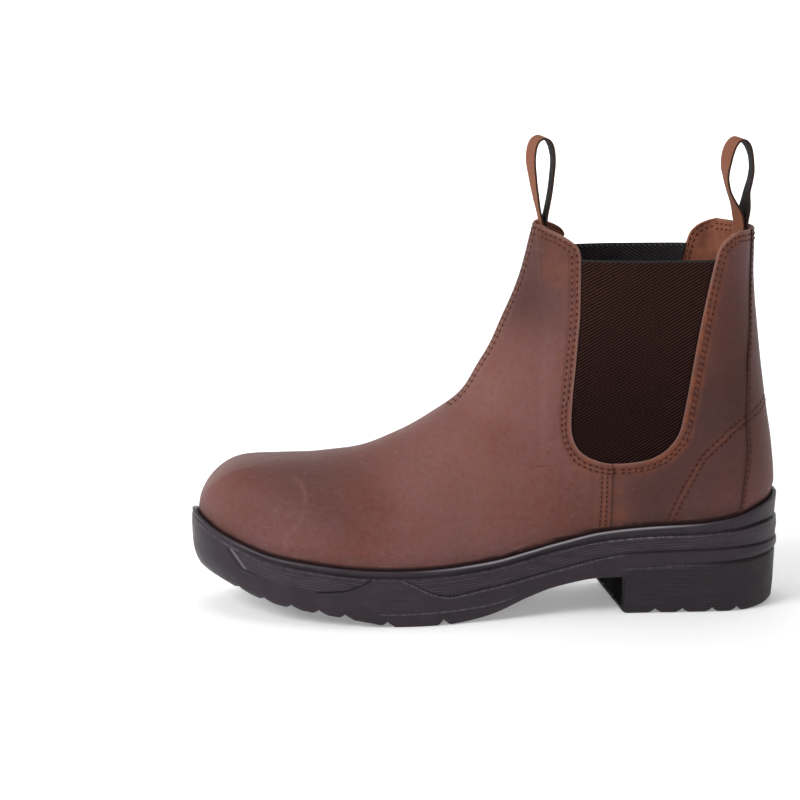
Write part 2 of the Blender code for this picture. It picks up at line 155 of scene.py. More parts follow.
def smoothCurve(xs, ys, x):
    x = np.clip(np.asarray(x, dtype=float), xs[0], xs[-1])
    step = np.diff(xs)
    rise = np.diff(ys) / step
    product = rise[1:] * rise[:-1]
    total = np.where(product > 0, rise[1:] + rise[:-1], 1.0)
    slope = np.concatenate([[rise[0]], np.where(product > 0, 2 * product / total, 0.0), [rise[-1]]])
    i = np.clip(np.searchsorted(xs, x, side="right") - 1, 0, len(xs) - 2)
    t = (x - xs[i]) / step[i]
    keep = (1 + 2 * t) * (1 - t) ** 2
    return (keep * ys[i] + (1 - keep) * ys[i + 1]
            + step[i] * t * (1 - t) * ((1 - t) * slope[i] - t * slope[i + 1]))


def read(tableName, column, x):
    table = last[tableName]
    return smoothCurve(next(iter(table.values())), table[column], x)


def ringValue(column, ring):
    return smoothCurve(np.arange(topRing + 1.0), last["rings"][column], ring)


def ease(start, end, x):
    t = np.clip((x - start) / (end - start), 0, 1)
    return t * t * (3 - 2 * t)


def hill(x, width):
    return np.exp(-(x / width) ** 2)


def endRound(distance, length):
    return np.sqrt(1 - np.clip(1 - distance / length, 0, 1) ** 2)


def least(*shares, power=4.0):
    total = sum(np.maximum(share, 1e-4) ** -power for share in shares) - (len(shares) - 1)
    return total ** (-1 / power)


def outlineSides(station, inset):
    share = (endRound(station - last["heelBack"] - inset, last["heelRound"] - inset)
             * endRound(last["toeTip"] - inset - station, last["toeRound"] - inset))
    ridge = read("outline", "ridge", station)
    middle = read("outline", "centre", station)
    half = read("outline", "halfWidth", station) - inset
    return ridge + (middle + half - ridge) * share, ridge + (middle - half - ridge) * share


toeRim = float(read("soleSide", "rim", last["rings"]["frontStation"][0]))
heelRim = float(read("soleSide", "rim", last["rings"]["backStation"][0]))
profileSteps = np.linspace(0, topRing, 600)
frontStations = ringValue("frontStation", profileSteps)
frontHeights = toeRim + ringValue("frontRise", profileSteps)
backStations = ringValue("backStation", profileSteps)
backHeights = heelRim + ringValue("backRise", profileSteps)


def ridgeHeight(station):
    tip = int(np.argmax(frontStations))
    stations = np.append(frontStations[tip:], frontStations[-1] - 6.0)
    heights = np.append(frontHeights[tip:], frontHeights[-1] + 300.0)
    return np.interp(station, stations[::-1], heights[::-1])


def wallSides(station, height):
    # lateral and medial outer face of the upper at a point of its side view
    rim = read("soleSide", "rim", station)
    inShaft = (ease(*last["footToShaftRise"], height - rim)
               * ease(*last["footToShaftStation"], station))
    middle = read("outline", "centre", station) * (1 - inShaft) + last["shaftCentre"] * inShaft
    half = ((read("outline", "halfWidth", station) - last["rimWidth"] - last["gap"]) * (1 - inShaft)
            + read("shaft", "halfWidth", height) * inShaft)
    swell = last["swell"] * np.sin(np.pi * np.clip((height - rim) / last["swellRise"], 0, 1))
    base = rim - last["archFoot"]
    power = last["vampPower"] + ((last["toeBoxPower"] - last["vampPower"])
                                 * ease(*last["toeBoxStation"], station))
    climb = np.clip((height - base) / np.maximum(ridgeHeight(station) - base, 1.0), 0, 1)
    arch = (1 - climb ** power) ** (1 / power)
    front = np.interp(height, frontHeights, frontStations)
    back = np.interp(height, backHeights, backStations)
    share = least(arch,
                  endRound(np.maximum(front - station, 0), read("shaft", "frontRound", height)),
                  endRound(np.maximum(station - back, 0), read("shaft", "backRound", height)))
    ridge = read("outline", "ridge", station)
    return (ridge + (middle + half + swell - ridge) * share,
            ridge + (middle - half - swell - ridge) * share)


def wallY(station, height, side):
    return wallSides(station, height)[0 if side > 0 else 1]


def ringHeight(ring, station):
    # height of a ring of the upper at a station, from the bottom edge under the rim to the collar
    front, back = ringValue("frontStation", ring), ringValue("backStation", ring)
    far = (front - station) / (front - back)
    low = read("soleSide", "bed", station) + last["gap"]
    rim = read("soleSide", "rim", station)
    sunk = low + (rim - last["rimSink"] - low) * ring
    frontRise, backRise = ringValue("frontRise", ring), ringValue("backRise", ring)
    alongRim = rim + frontRise + (backRise - frontRise) * far
    level = toeRim + frontRise + (heelRim + backRise - toeRim - frontRise) * far ** 2
    level = level - 4 * ringValue("dip", ring) * far * (1 - far)
    free = ease(1, last["levelRing"], ring)
    return np.where(ring < 1, sunk, alongRim * (1 - free) + level * free)


sideStations = np.linspace(150, 250, 400)
middleY = (outlineSides(sideStations, 0)[0].max() + outlineSides(sideStations, 0)[1].min()) / 2
middleStation = (last["heelBack"] + last["toeTip"]) / 2


def place(station, y, height):
    station, y, height = np.broadcast_arrays(station, y, height)
    return np.stack([station - middleStation, y - middleY, height], axis=-1) * mm


def hexColour(code):
    parts = [int(code[i:i + 2], 16) / 255 for i in (1, 3, 5)]
    return [c / 12.92 if c <= 0.04045 else ((c + 0.055) / 1.055) ** 2.4 for c in parts] + [1.0]


def addNode(tree, kind, inputs=None, **settings):
    node = tree.nodes.new(kind)
    for name, value in settings.items():
        setattr(node, name, value)
    for key, value in (inputs or {}).items():
        if isinstance(value, bpy.types.NodeSocket):
            tree.links.new(value, node.inputs[key])
        else:
            node.inputs[key].default_value = value
    return node


def newMaterial(name, **shaderInputs):
    material = bpy.data.materials.new(name)
    material.use_nodes = True
    tree = material.node_tree
    shader = tree.nodes["Principled BSDF"]
    for key, value in shaderInputs.items():
        shader.inputs[key.replace("_", " ")].default_value = value
    return material, tree, shader


def netFaces(index, flip=False):
    # faces of a net of point numbers
    quads = np.stack([index[:-1, :-1], index[1:, :-1], index[1:, 1:], index[:-1, 1:]], axis=-1).reshape(-1, 4)
    return quads[:, ::-1] if flip else quads


def quadGrid(rows, cols, flip=False, wrap=False, start=0):
    index = np.arange(rows * cols).reshape(rows, cols) + start
    if wrap:
        index = np.concatenate([index, index[:, :1]], axis=1)
    return netFaces(index, flip)


def makePiece(name, points, faces, materials, stands=(), attributes=None, sharp=None,
              secondFaces=()):
    mesh = bpy.data.meshes.new(name)
    mesh.from_pydata(np.asarray(points).reshape(-1, 3).tolist(), [], [list(map(int, f)) for f in faces])
    for key, values in (attributes or {}).items():
        layer = mesh.attributes.new(key, "FLOAT", "POINT")
        layer.data.foreach_set("value", np.asarray(values, dtype=np.float32).ravel())
    for material in materials:
        mesh.materials.append(material)
    for face in secondFaces:         # faces with the second material
        mesh.polygons[face].material_index = 1
    mesh.validate()
    mesh.shade_smooth()
    if sharp:
        mesh.set_sharp_from_angle(angle=sharp)
    piece = bpy.data.objects.new(name, mesh)
    bpy.context.scene.collection.objects.link(piece)
    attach(piece, "root")
    if stands:
        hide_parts(*stands)
    return piece


def gridNormals(points):
    across = np.gradient(points, axis=1)
    upward = np.gradient(points, axis=0)
    normal = np.cross(upward, across)
    return normal / np.maximum(np.linalg.norm(normal, axis=-1, keepdims=True), 1e-12)


def nearest(path, station, height):
    # shortest distance in the side view from points to a path
    a, b = path[:-1], path[1:]
    best = np.full(np.shape(station), 1e9)
    for (s0, h0), (s1, h1) in zip(a, b):
        ds, dh = s1 - s0, h1 - h0
        t = np.clip(((station - s0) * ds + (height - h0) * dh) / (ds * ds + dh * dh + 1e-12), 0, 1)
        best = np.minimum(best, np.hypot(station - s0 - t * ds, height - h0 - t * dh))
    return best


def travelled(points):
    # length along a line of points, or along each row of a net, from its first point
    steps = np.linalg.norm(np.diff(points, axis=-2), axis=-1)
    return np.insert(np.cumsum(steps, axis=-1), 0, 0.0, axis=-1)


def roundMiddle(lateral, medial):
    # rows that run from the lateral edge to the middle and on to the medial edge
    return np.concatenate([lateral, medial[:, -2::-1]], axis=1)


def spotFields(spots, station, height):
    # soft round spots in the side view, one field for each
    return [strength * hill(np.hypot(station - spotStation, height - spotHeight), reach)
            for spotStation, spotHeight, reach, strength in spots]


print("shape functions ready")


# Camera at the photograph's angle, a little rolled
view = {
    "aim": (0.04288, -0.00725, 0.09913),
    "distance": 1.4995,
    "elevation": 10.365,
    "yaw": 7.505,
    "roll": -0.62,
    "focalPixels": 3082.8,
    "imagePixels": 800.0,
}


def makeCamera():
    el, yaw, roll = (math.radians(view[k]) for k in ("elevation", "yaw", "roll"))
    back = Vector((math.sin(yaw) * math.cos(el), math.cos(yaw) * math.cos(el), math.sin(el)))
    right = Vector((-math.cos(yaw), math.sin(yaw), 0.0))
    up = back.cross(right)
    camera = bpy.data.objects.new("camera", bpy.data.cameras.new("camera"))
    camera.data.sensor_width = 36.0
    camera.data.lens = 36.0 * view["focalPixels"] / view["imagePixels"]
    camera.data.clip_end = 30.0
    axisX = right * math.cos(roll) - up * math.sin(roll)
    axisY = right * math.sin(roll) + up * math.cos(roll)
    eye = Vector(view["aim"]) + back * view["distance"]
    camera.matrix_world = Matrix((
        (axisX.x, axisY.x, back.x, eye.x),
        (axisX.y, axisY.y, back.y, eye.y),
        (axisX.z, axisY.z, back.z, eye.z),
        (0, 0, 0, 1),
    ))
    bpy.context.scene.collection.objects.link(camera)
    bpy.context.scene.camera = camera


makeCamera()
print("camera placed")


# Oiled side leather, buffed and waxed by hand: low broad sheen, finely mottled, pale where it is rubbed, with
# painted light and shade in its colour
leatherLook = {
    "warm": "#6C3F36",
    "mauve": "#6E4A49",
    "rust": "#7E4530",
    "paleDustAndLight": "#A67F75",
    "worn": "#80462B",
    "deep": "#1E0C09",       # where the hide took more oil and in the seams; also painted shade along the sole's lip and where the boot turns away from the light
    "cloudSize": 46.0,       # mm
    "mottleSize": 3.4,
    "rustSize": 6.0,
    "fibreSize": 1.0,        # real fibres are a fifth of that, drawn coarser to show
    "fibreStretch": 4.0,
    "fleckSize": 2.3,
    "grainSize": 0.9,        # real grain is about 0.4, drawn coarser to show
}


def makeLeather():
    look = leatherLook
    material, tree, shader = newMaterial("oiled_leather_buffed", Roughness=0.58, Specular_IOR_Level=0.18,
                                         Sheen_Weight=0.05, Sheen_Roughness=0.5)
    where = addNode(tree, "ShaderNodeTexCoord").outputs["Object"]
    aside = addNode(tree, "ShaderNodeVectorMath", {0: where, 1: (0.31, 0.17, 0.05)}).outputs["Vector"]
    drawn = addNode(tree, "ShaderNodeVectorMath",
                    {0: aside, 1: (1 / look["fibreStretch"], 1 / look["fibreStretch"], 1.0)},
                    operation="MULTIPLY").outputs["Vector"]
    noises = {}
    for key, vector, detail, rough in (("cloud", where, 3.0, 0.5), ("mottle", where, 5.0, 0.6),
                                       ("rust", aside, 4.0, 0.65), ("fibre", drawn, 3.0, 0.6),
                                       ("fleck", aside, 5.0, 0.72), ("grain", where, 3.0, 0.6)):
        noises[key] = addNode(tree, "ShaderNodeTexNoise", {
            "Vector": vector, "Detail": detail, "Roughness": rough,
            "Scale": 1 / (look[key + "Size"] * mm)}).outputs["Fac"]
    pores = addNode(tree, "ShaderNodeTexVoronoi", {"Vector": where,
                                                   "Scale": 1 / (2.2 * look["grainSize"] * mm)},
                    feature="F1")
    marks = {key: addNode(tree, "ShaderNodeAttribute", attribute_name=key).outputs["Fac"]
             for key in ("edgeWear", "seamShade", "scuff", "tone")}
    both = addNode(tree, "ShaderNodeMath", {0: noises["cloud"], 1: noises["mottle"]}, operation="ADD")
    share = addNode(tree, "ShaderNodeMapRange", {"Value": both.outputs["Value"], "From Min": 0.75,
                                                 "From Max": 1.25})
    base = addNode(tree, "ShaderNodeMix", {"Factor": share.outputs["Result"], "A": hexColour(look["warm"]),
                                           "B": hexColour(look["mauve"])}, data_type="RGBA")
    rusty = addNode(tree, "ShaderNodeMapRange", {"Value": noises["rust"], "From Min": 0.54, "From Max": 0.78,
                                                 "To Max": 0.34})
    fibres = addNode(tree, "ShaderNodeMapRange", {"Value": noises["fibre"], "From Min": 0.58, "From Max": 0.8,
                                                  "To Max": 0.2})
    dark = addNode(tree, "ShaderNodeMapRange", {"Value": noises["fleck"], "From Min": 0.52, "From Max": 0.3,
                                                "To Max": 0.18})
    pale = addNode(tree, "ShaderNodeMath", {0: marks["scuff"], 1: fibres.outputs["Result"]},
                   operation="MAXIMUM")
    patch = addNode(tree, "ShaderNodeMapRange", {"Value": noises["rust"], "From Min": 0.36, "From Max": 0.62,
                                                 "To Min": 0.3, "To Max": 0.95})
    wear = addNode(tree, "ShaderNodeMath", {0: marks["edgeWear"], 1: patch.outputs["Result"]},
                   operation="MULTIPLY")
    colour = base.outputs["Result"]
    # the pale mark carries some painted light; the tone and seam marks carry painted shade
    for factor, tint in ((rusty.outputs["Result"], "rust"), (pale.outputs["Value"], "paleDustAndLight"),
                         (dark.outputs["Result"], "deep"), (marks["tone"], "deep"),
                         (wear.outputs["Value"], "worn"), (marks["seamShade"], "deep")):
        colour = addNode(tree, "ShaderNodeMix", {"Factor": factor, "A": colour, "B": hexColour(look[tint])},
                         data_type="RGBA").outputs["Result"]
    tree.links.new(colour, shader.inputs["Base Color"])
    rough = addNode(tree, "ShaderNodeMapRange", {"Value": noises["mottle"], "From Min": 0.3, "From Max": 0.7,
                                                 "To Min": 0.52, "To Max": 0.66})
    tree.links.new(rough.outputs["Result"], shader.inputs["Roughness"])
    height = addNode(tree, "ShaderNodeMath", {0: noises["grain"], 1: pores.outputs["Distance"]},
                     operation="ADD")
    bump = addNode(tree, "ShaderNodeBump", {"Height": height.outputs["Value"], "Strength": 0.26,
                                            "Distance": 0.35 * mm})
    tree.links.new(bump.outputs["Normal"], shader.inputs["Normal"])
    return material


def plainNoise(name, colours, size, roughness, bumpSize, bumpStrength, gloss=0.25):
    # a woven, split or moulded surface with one cloudy colour change and a fine rough relief
    material, tree, shader = newMaterial(name, Roughness=roughness, Specular_IOR_Level=gloss)
    where = addNode(tree, "ShaderNodeTexCoord").outputs["Object"]
    cloud = addNode(tree, "ShaderNodeTexNoise", {"Vector": where, "Scale": 1 / (size * mm), "Detail": 4.0})
    share = addNode(tree, "ShaderNodeMapRange", {"Value": cloud.outputs["Fac"], "From Min": 0.35,
                                                 "From Max": 0.65})
    mix = addNode(tree, "ShaderNodeMix", {"Factor": share.outputs["Result"], "A": hexColour(colours[0]),
                                          "B": hexColour(colours[1])}, data_type="RGBA")
    tree.links.new(mix.outputs["Result"], shader.inputs["Base Color"])
    fine = addNode(tree, "ShaderNodeTexNoise", {"Vector": where, "Scale": 1 / (bumpSize * mm), "Detail": 3.0})
    bump = addNode(tree, "ShaderNodeBump", {"Height": fine.outputs["Fac"], "Strength": bumpStrength,
                                            "Distance": 0.3 * mm})
    tree.links.new(bump.outputs["Normal"], shader.inputs["Normal"])
    return material


leather = makeLeather()
lining = plainNoise("pigskin_lining_napped", ("#8E5743", "#744536"), 8.0, 0.85, 0.7, 0.3)
cutEdge = plainNoise("cut_leather_edge_fibrous", ("#9A6248", "#74442E"), 3.0, 0.8, 0.4, 0.4)
thread = plainNoise("bonded_nylon_thread_twisted", ("#451B13", "#30120C"), 4.0, 0.8, 0.3, 0.4)
print("leather, lining and thread made")


# The upper: vamp, front and rear of the shaft in one wall of leather and lining, cut out for the elastic
upperLook = {
    "wall": 2.2,
    "rows": 158,
    "frontWeight": 0.45,             # how much the front's length counts in spacing the rows
    "levelReach": (26.0, 72.0),      # the rows are level up to here from the notch's foot, then bend away
    "levelRise": (8.0, 50.0),        # the same, above and below it
    "footRows": 24,                  # closer rows where the notch opens
    "footRise": (-0.3, 6.2),         # where they take the place of the even ones
    "footDepth": 2.4,                # root of the height that they reach
    "edgeColumns": 20,
    "edgeZone": 10.0,
    "edgeShare": 0.45,               # of a narrow panel's width
    "edgeProbe": (68.0, 2700),       # how far the cut edge is looked for, and in how many steps
    "seamStep": 0.07,
    "columns": 88,
    "columnEase": 0.16,              # columns draw together towards the middle
    "keptFaces": 0.64,               # share of the faces that is left when the lining is thinned
    "sideSeam": 86.2,
    "seamLap": 0.8,
    "edgeRound": 0.5,
    "stitchRows": (2.5, 5.0),        # from the cut edge
    "innerTab": 4.4,                 # how much further back the inner side's front tab reaches
    "seamRows": (2.2, 5.0),          # from the side seam's edge
    "frontRows": (2.6, 5.6),         # from the front seam
    "frontSeamEnd": 99.0,
    "counter": np.array([(6.6, 101.6), (9.0, 100.4), (14.0, 97.4), (18.5, 94.8), (25.6, 90.2), (34.5, 83.2),
                         (40.5, 77.2), (44.8, 70.2), (48.9, 62.4), (52.3, 55.5), (55.2, 48.6), (57.6, 42.0)]),
    "counterRow": 1.5,               # half the distance of its two rows
    "pitch": 3.1,
    "sidePitch": 2.4,                # the side seam is sewn finer
    "stitch": 0.645,                 # share of the pitch that the thread shows
    "threadRadius": 0.4,
    "seamProbe": 2.0,                # seams start outside the leather and are then laid on it
    "stitchSink": 0.2,               # a row's trough, its half width and that of the dark line in it
    "stitchTrough": 0.6,
    "stitchShade": 0.7,
    "lipShade": 0.94,                # painted shade in the gap along the sole's lip, and where it ends above the rim
    "lipRise": (1.4, 2.1),
    "toneAndShadeLimit": 0.68,
    # soft troughs with a ridge beside them: path as station and height, width and depth
    "creases": [
        ([(205, 74), (192, 60), (184, 44)], 9.0, 0.45),
        ([(224, 70), (214, 56), (208, 40)], 8.0, 0.3),
        ([(156, 106), (140, 93), (118, 82)], 11.0, 0.6),
        ([(142, 126), (124, 114), (110, 109)], 9.0, 0.4),
        ([(24, 122), (38, 112), (50, 98)], 9.0, 0.4),
    ],
    # pale scuffs: path, width and strength
    "scuffs": [
        ([(238.8, 67.0), (236.0, 65.6), (234.2, 61.6), (234.6, 57.0)], 0.9, 0.2),
        ([(235.0, 54.0), (237.4, 49.0), (241.5, 45.0)], 0.8, 0.1),
        ([(243.0, 43.5), (244.2, 40.5), (243.5, 37.5)], 0.9, 0.14),
        ([(218.8, 62.4), (217.2, 62.2), (216.8, 60.8), (218.2, 60.2)], 0.7, 0.14),
        ([(196, 47), (190, 49.6), (184, 50)], 0.9, 0.08),
        ([(124, 176), (119, 174.5)], 0.8, 0.2),
        ([(117.6, 185.2), (112.0, 183.0), (108.0, 180.8)], 0.9, 0.75),
    ],
    # darker stretches, partly darker hide and partly painted shade where the boot turns away from the light:
    # station, height, reach and strength
    "toneAndShadeSpots": [
        (22, 130, 58, 0.52), (40, 66, 36, 0.42), (34, 102, 16, 0.22), (70, 56, 22, 0.34),
        (124, 182, 34, 0.52), (128, 150, 17, 0.36), (216, 52, 20, 0.16), (232, 70, 26, 0.22),
        (258, 62, 20, 0.14), (104, 50, 20, 0.18), (272, 44, 16, 0.16),
    ],
    # paler stretches, partly rubbed by handling and partly painted light where the light falls strongest:
    # station, height, reach and strength
    "paleAndLitSpots": [(158, 68, 26, 0.16), (146, 108, 24, 0.1), (276, 52, 14, 0.08), (112, 118, 20, 0.06)],
    # rust-coloured rubs: station, height, reach and strength
    "rubs": [
        (83.2, 49, 6, 0.42), (84.2, 62, 4, 0.36), (112, 166, 9, 0.35), (100, 75.5, 4.5, 0.8),
        (50, 100, 5, 0.25),
    ],
}
notchFoot = float(last["notch"]["height"][0])
notchStation = float(last["notch"]["front"][0])


def notchEdge(column, height, side=1):
    depth = np.sqrt(last["notch"]["height"] - notchFoot)
    edge = smoothCurve(depth, last["notch"][column], np.sqrt(np.maximum(height - notchFoot, 0)))
    inner = upperLook["innerTab"] * (column == "front" and side < 0)
    return edge - inner * ease(173.0, 181.0, height)


def cutPath(column, side):
    # side view of a cut edge, from the notch's lowest point up and along the collar to its middle
    height = notchFoot + np.linspace(0, np.sqrt(190 - notchFoot), 240) ** 2
    station = notchEdge(column, height, side)
    inside = height < ringHeight(np.array(float(topRing)), station)
    end = ringValue(column + "Station", topRing)
    top = np.linspace(station[inside][-1], end, 24)[1:]
    return np.concatenate([np.stack([station[inside], height[inside]], 1),
                           np.stack([top, ringHeight(np.array(float(topRing)), top)], 1)])


def rowHeight(ring, station):
    # rows of the upper follow its rings, and run level under the notch
    high = ringHeight(ring, station)
    level = ringHeight(ring, np.full(np.shape(ring), notchStation))
    near = 1 - ease(*upperLook["levelReach"], np.abs(station - notchStation))
    near = near * (1 - ease(*upperLook["levelRise"], np.abs(level - notchFoot)))
    return high + (level - high) * near


def upperRows():
    look = upperLook
    ring = np.linspace(0, topRing, 4000)
    height = ringHeight(ring, np.full(ring.shape, notchStation))
    front = np.hypot(np.diff(ringValue("frontStation", ring)), np.diff(ringValue("frontRise", ring)))
    travel = np.append(0, np.cumsum(np.abs(np.diff(height)) + look["frontWeight"] * front))
    even = np.interp(np.linspace(0, travel[-1], look["rows"]), travel, ring)
    depth = np.linspace(0, look["footDepth"], look["footRows"])
    foot = np.interp(notchFoot + depth ** 2, height, ring)
    apart = np.interp(even, ring, height)
    low, high = look["footRise"]
    return np.sort(np.append(even[(apart < notchFoot + low) | (apart > notchFoot + high)], foot))


def upperQuarter(column, side):
    # rows up the boot, columns from the cut edge to the middle of the front or back
    look = upperLook
    ring = upperRows()[:, None]
    sign = 1 if column == "front" else -1
    probe = notchStation + sign * np.linspace(0, *look["edgeProbe"])[None, :]
    height = rowHeight(ring, probe)
    cut = (height > notchFoot + 1e-6) & (sign * (notchEdge(column, height, side) - probe) > 0)
    edge = (np.where(cut, sign * probe, sign * notchStation).max(axis=1) * sign)[:, None]
    end = ringValue(column + "Station", ring)
    span = np.abs(end - edge)
    zone = np.minimum(look["edgeZone"], look["edgeShare"] * span)
    toSeam = look["sideSeam"] - notchStation
    near = np.linspace(0, look["edgeZone"], look["edgeColumns"] + 1)[:-1]
    near = np.sort(np.append(near, (toSeam - look["seamStep"], toSeam + look["seamStep"])))
    near = near[None, :] * zone / look["edgeZone"]
    toGo = 1 - np.linspace(0, 1, look["columns"])[None, :]
    soft = look["columnEase"]
    way = 1 - (np.sqrt(toGo ** 2 + soft * soft) - soft) / (math.sqrt(1 + soft * soft) - soft)
    station = edge + sign * np.concatenate([near, zone + (span - zone) * way], axis=1)
    height = rowHeight(ring, station)
    return {"station": station, "height": height, "y": wallY(station, height, side),
            "edge": nearest(cutPath(column, side), station, height), "whole": ~cut.any(axis=1)}


def upperHalf(column):
    # front or back of the upper, from the lateral cut edge round the middle to the medial one
    lateral, medial = upperQuarter(column, 1), upperQuarter(column, -1)
    half = {key: roundMiddle(lateral[key], medial[key]) for key in ("station", "height", "y", "edge")}
    half["points"] = place(half["station"], half["y"], half["height"])
    across = travelled(half["points"]) / mm
    half["across"] = across[:, across.shape[1] // 2][:, None] - across
    half["rise"] = half["height"] - read("soleSide", "rim", half["station"])
    half["whole"] = lateral["whole"]
    half["sign"] = 1 if column == "front" else -1
    return half


def counterPath():
    # the counter seam's side view, from the back's middle down to the rim
    seam = upperLook["counter"]
    travel = travelled(seam)
    along = np.linspace(0, travel[-1], 90)
    return np.stack([smoothCurve(travel, seam[:, 0], along), smoothCurve(travel, seam[:, 1], along)], 1)


def counterDistance(station, height):
    return nearest(counterPath()[::3], station, height)


def rowsAt(distance, rows, width):
    return np.clip(sum(hill(distance - d, width) for d in rows), 0, 1)


def dressHalf(half):
    # relief in mm, worn colour, dark seam lines, painted shade and painted light of one half of the upper
    look = upperLook
    station, height, edge, across, rise = (
        half[key] for key in ("station", "height", "edge", "across", "rise"))
    sink, trough, dark = look["stitchSink"], look["stitchTrough"], look["stitchShade"]
    relief = (-look["edgeRound"] * hill(edge, 0.55) - sink * rowsAt(edge, look["stitchRows"], trough)
              + 0.12 * hill(edge - sum(look["stitchRows"]) / 2, 1.1))
    raw = hill(edge, 0.75)           # the pale raw edge of the hide
    wear = (0.9 - 0.35 * ease(1.8, 3.0, edge) - 0.55 * ease(5.0, 7.4, edge)) * (1 - 0.85 * raw)
    wear = wear * (1 - 0.4 * ease(70.0, 100.0, station))     # browner behind the elastic
    shade = 0.32 * rowsAt(edge, look["stitchRows"], dark)
    for path, width, depth in look["creases"]:
        away = nearest(np.array(path, dtype=float), station, height)
        relief = relief - depth * hill(away, width) + 0.5 * depth * hill(away - 1.7 * width, width)
    wear = np.maximum.reduce([wear] + spotFields(look["rubs"], station, height))
    tone = sum(spotFields(look["toneAndShadeSpots"], station, height))
    shadeWobble = 0.15 * np.sin(0.9 * station) * np.sin(0.37 * station)    # uneven painted shade in the gap along the sole's lip
    foot = 1 - ease(*look["lipRise"], rise + shadeWobble)
    shade = np.maximum(shade, look["lipShade"] * foot)
    # darker towards the sole's rim
    tone = tone + 0.24 * hill(np.maximum(rise, 0), 6.0)
    wear = wear * (1 - foot)
    scuff = 0.75 * raw * (1 - foot)
    dusty = np.clip(np.sin(0.23 * station) * np.sin(0.071 * station + 1.0), 0, 1)
    scuff = np.maximum(scuff, 0.4 * dusty * hill(rise - 2.6, 0.6))      # pale here and there above it
    scuff = np.maximum.reduce([scuff] + spotFields(look["paleAndLitSpots"], station, height))
    for path, width, strength in look["scuffs"]:
        scuff = np.maximum(scuff, strength * hill(nearest(np.array(path), station, height), width))
    wear = wear * (1 - 0.8 * np.clip(scuff, 0, 1))
    if half["sign"] > 0:
        seam = station - look["sideSeam"]
        below = 1 - ease(notchFoot - 1.0, notchFoot + 3.0, height)
        lap = look["seamLap"] * (seam > 0) * hill(np.maximum(seam, 0), 10.0)
        lap = lap * below * ease(0.0, 5.0, rise)
        relief = relief + lap - sink * rowsAt(seam, look["seamRows"], trough) * below
        wear = np.maximum(wear, 0.45 * hill(seam - 3.4, 3.2) * (seam > -0.1) * below)
        shade = np.maximum(shade, 0.25 * rowsAt(seam, look["seamRows"], dark) * below)
        shade = np.maximum(shade, 0.75 * hill(seam, 0.25) * below)
        front = ease(look["frontSeamEnd"] - 3, look["frontSeamEnd"] + 1, height) * (station < 200)
        relief = relief + front * (0.25 * hill(across - 2.0, 4.0) - 0.4 * hill(across, 0.6))
        relief = relief - sink * rowsAt(across, look["frontRows"], trough) * front
        wear = np.maximum(wear, 0.4 * hill(across - 3.0, 3.5) * front)
        shade = np.maximum(shade, 0.25 * rowsAt(across, look["frontRows"], dark) * front)
        shade = np.maximum(shade, 0.6 * hill(across, 0.5) * front)
    else:
        counter = counterDistance(station, height)
        rows = hill(counter - look["counterRow"], trough)
        relief = relief - sink * rows
        wear = np.maximum(wear, 0.3 * hill(counter, 2.6))
        shade = np.maximum(shade, 0.4 * rows)
    points = half["points"] + half["sign"] * gridNormals(half["points"]) * relief[..., None] * mm
    return points, {"edgeWear": wear, "seamShade": shade, "scuff": scuff,
                    "tone": np.clip(tone, 0, look["toneAndShadeLimit"])}


def addWall(piece, thickness, offset=-1.0):
    wall = piece.modifiers.new("wall", "SOLIDIFY")
    wall.thickness = thickness * mm
    wall.offset = offset
    wall.material_offset = 1
    wall.material_offset_rim = 2
    return wall


def makeUpper():
    halves = [upperHalf(column) for column in ("front", "back")]
    parts, marks = zip(*[dressHalf(half) for half in halves])
    index = [np.arange(parts[0][..., 0].size).reshape(parts[0].shape[:2])]
    index.append(np.arange(parts[1][..., 0].size).reshape(parts[1].shape[:2]) + index[0].size)
    whole = halves[0]["whole"] & halves[1]["whole"]
    for side in (0, -1):         # below the notch the halves share their edges
        index[1][whole, side] = index[0][whole, side]
    faces = np.concatenate([netFaces(index[0]), netFaces(index[1], flip=True)])
    used, faces = np.unique(faces, return_inverse=True)
    faces = faces.reshape(-1, 4)
    points = np.concatenate([part.reshape(-1, 3) for part in parts])[used]
    marks = {key: np.concatenate([mark[key].ravel() for mark in marks])[used] for key in marks[0]}
    piece = makePiece("upper", points, faces, [leather, lining, cutEdge], ["upper"], marks)
    wall = addWall(piece, upperLook["wall"])
    wall.shell_vertex_group = piece.vertex_groups.new(name="lining").name
    thin = piece.modifiers.new("thin", "DECIMATE")       # the plain lining needs fewer faces
    thin.vertex_group = "lining"
    thin.ratio = upperLook["keptFaces"]
    inner = [part - half["sign"] * gridNormals(part) * upperLook["wall"] * mm
             for half, part in zip(halves, parts)]
    inner = np.concatenate([part.reshape(-1, 3) for part in inner])[used]
    return halves[0], parts[0], points, inner, faces


frontHalf, frontPoints, upperPoints, innerPoints, upperFaces = makeUpper()
print("upper made:", len(upperFaces), "faces")


# Back strip: a stay sewn over the rear seam, thinned where it goes into the sole's rim
stripLook = {
    "edge": columns("height station", [(40, 23.4), (51.6, 22.1), (60.6, 21.2), (69.4, 20.2), (78.1, 19.5),
                                       (92.8, 20.3), (112.4, 19.9), (132.6, 19.0), (163.3, 17.8),
                                       (190, 17.4)]),
    "thickness": 0.9,
    "thinAtRim": 0.25,
    "sink": 0.3,             # how far its underside is let into the panel
    "columns": 44,
    "row": 1.3,              # stitch row, from the strip's edge
    "toneAndShadeShare": 0.85,       # it takes a little less of the darker tone and painted shade than the hide beside it
}


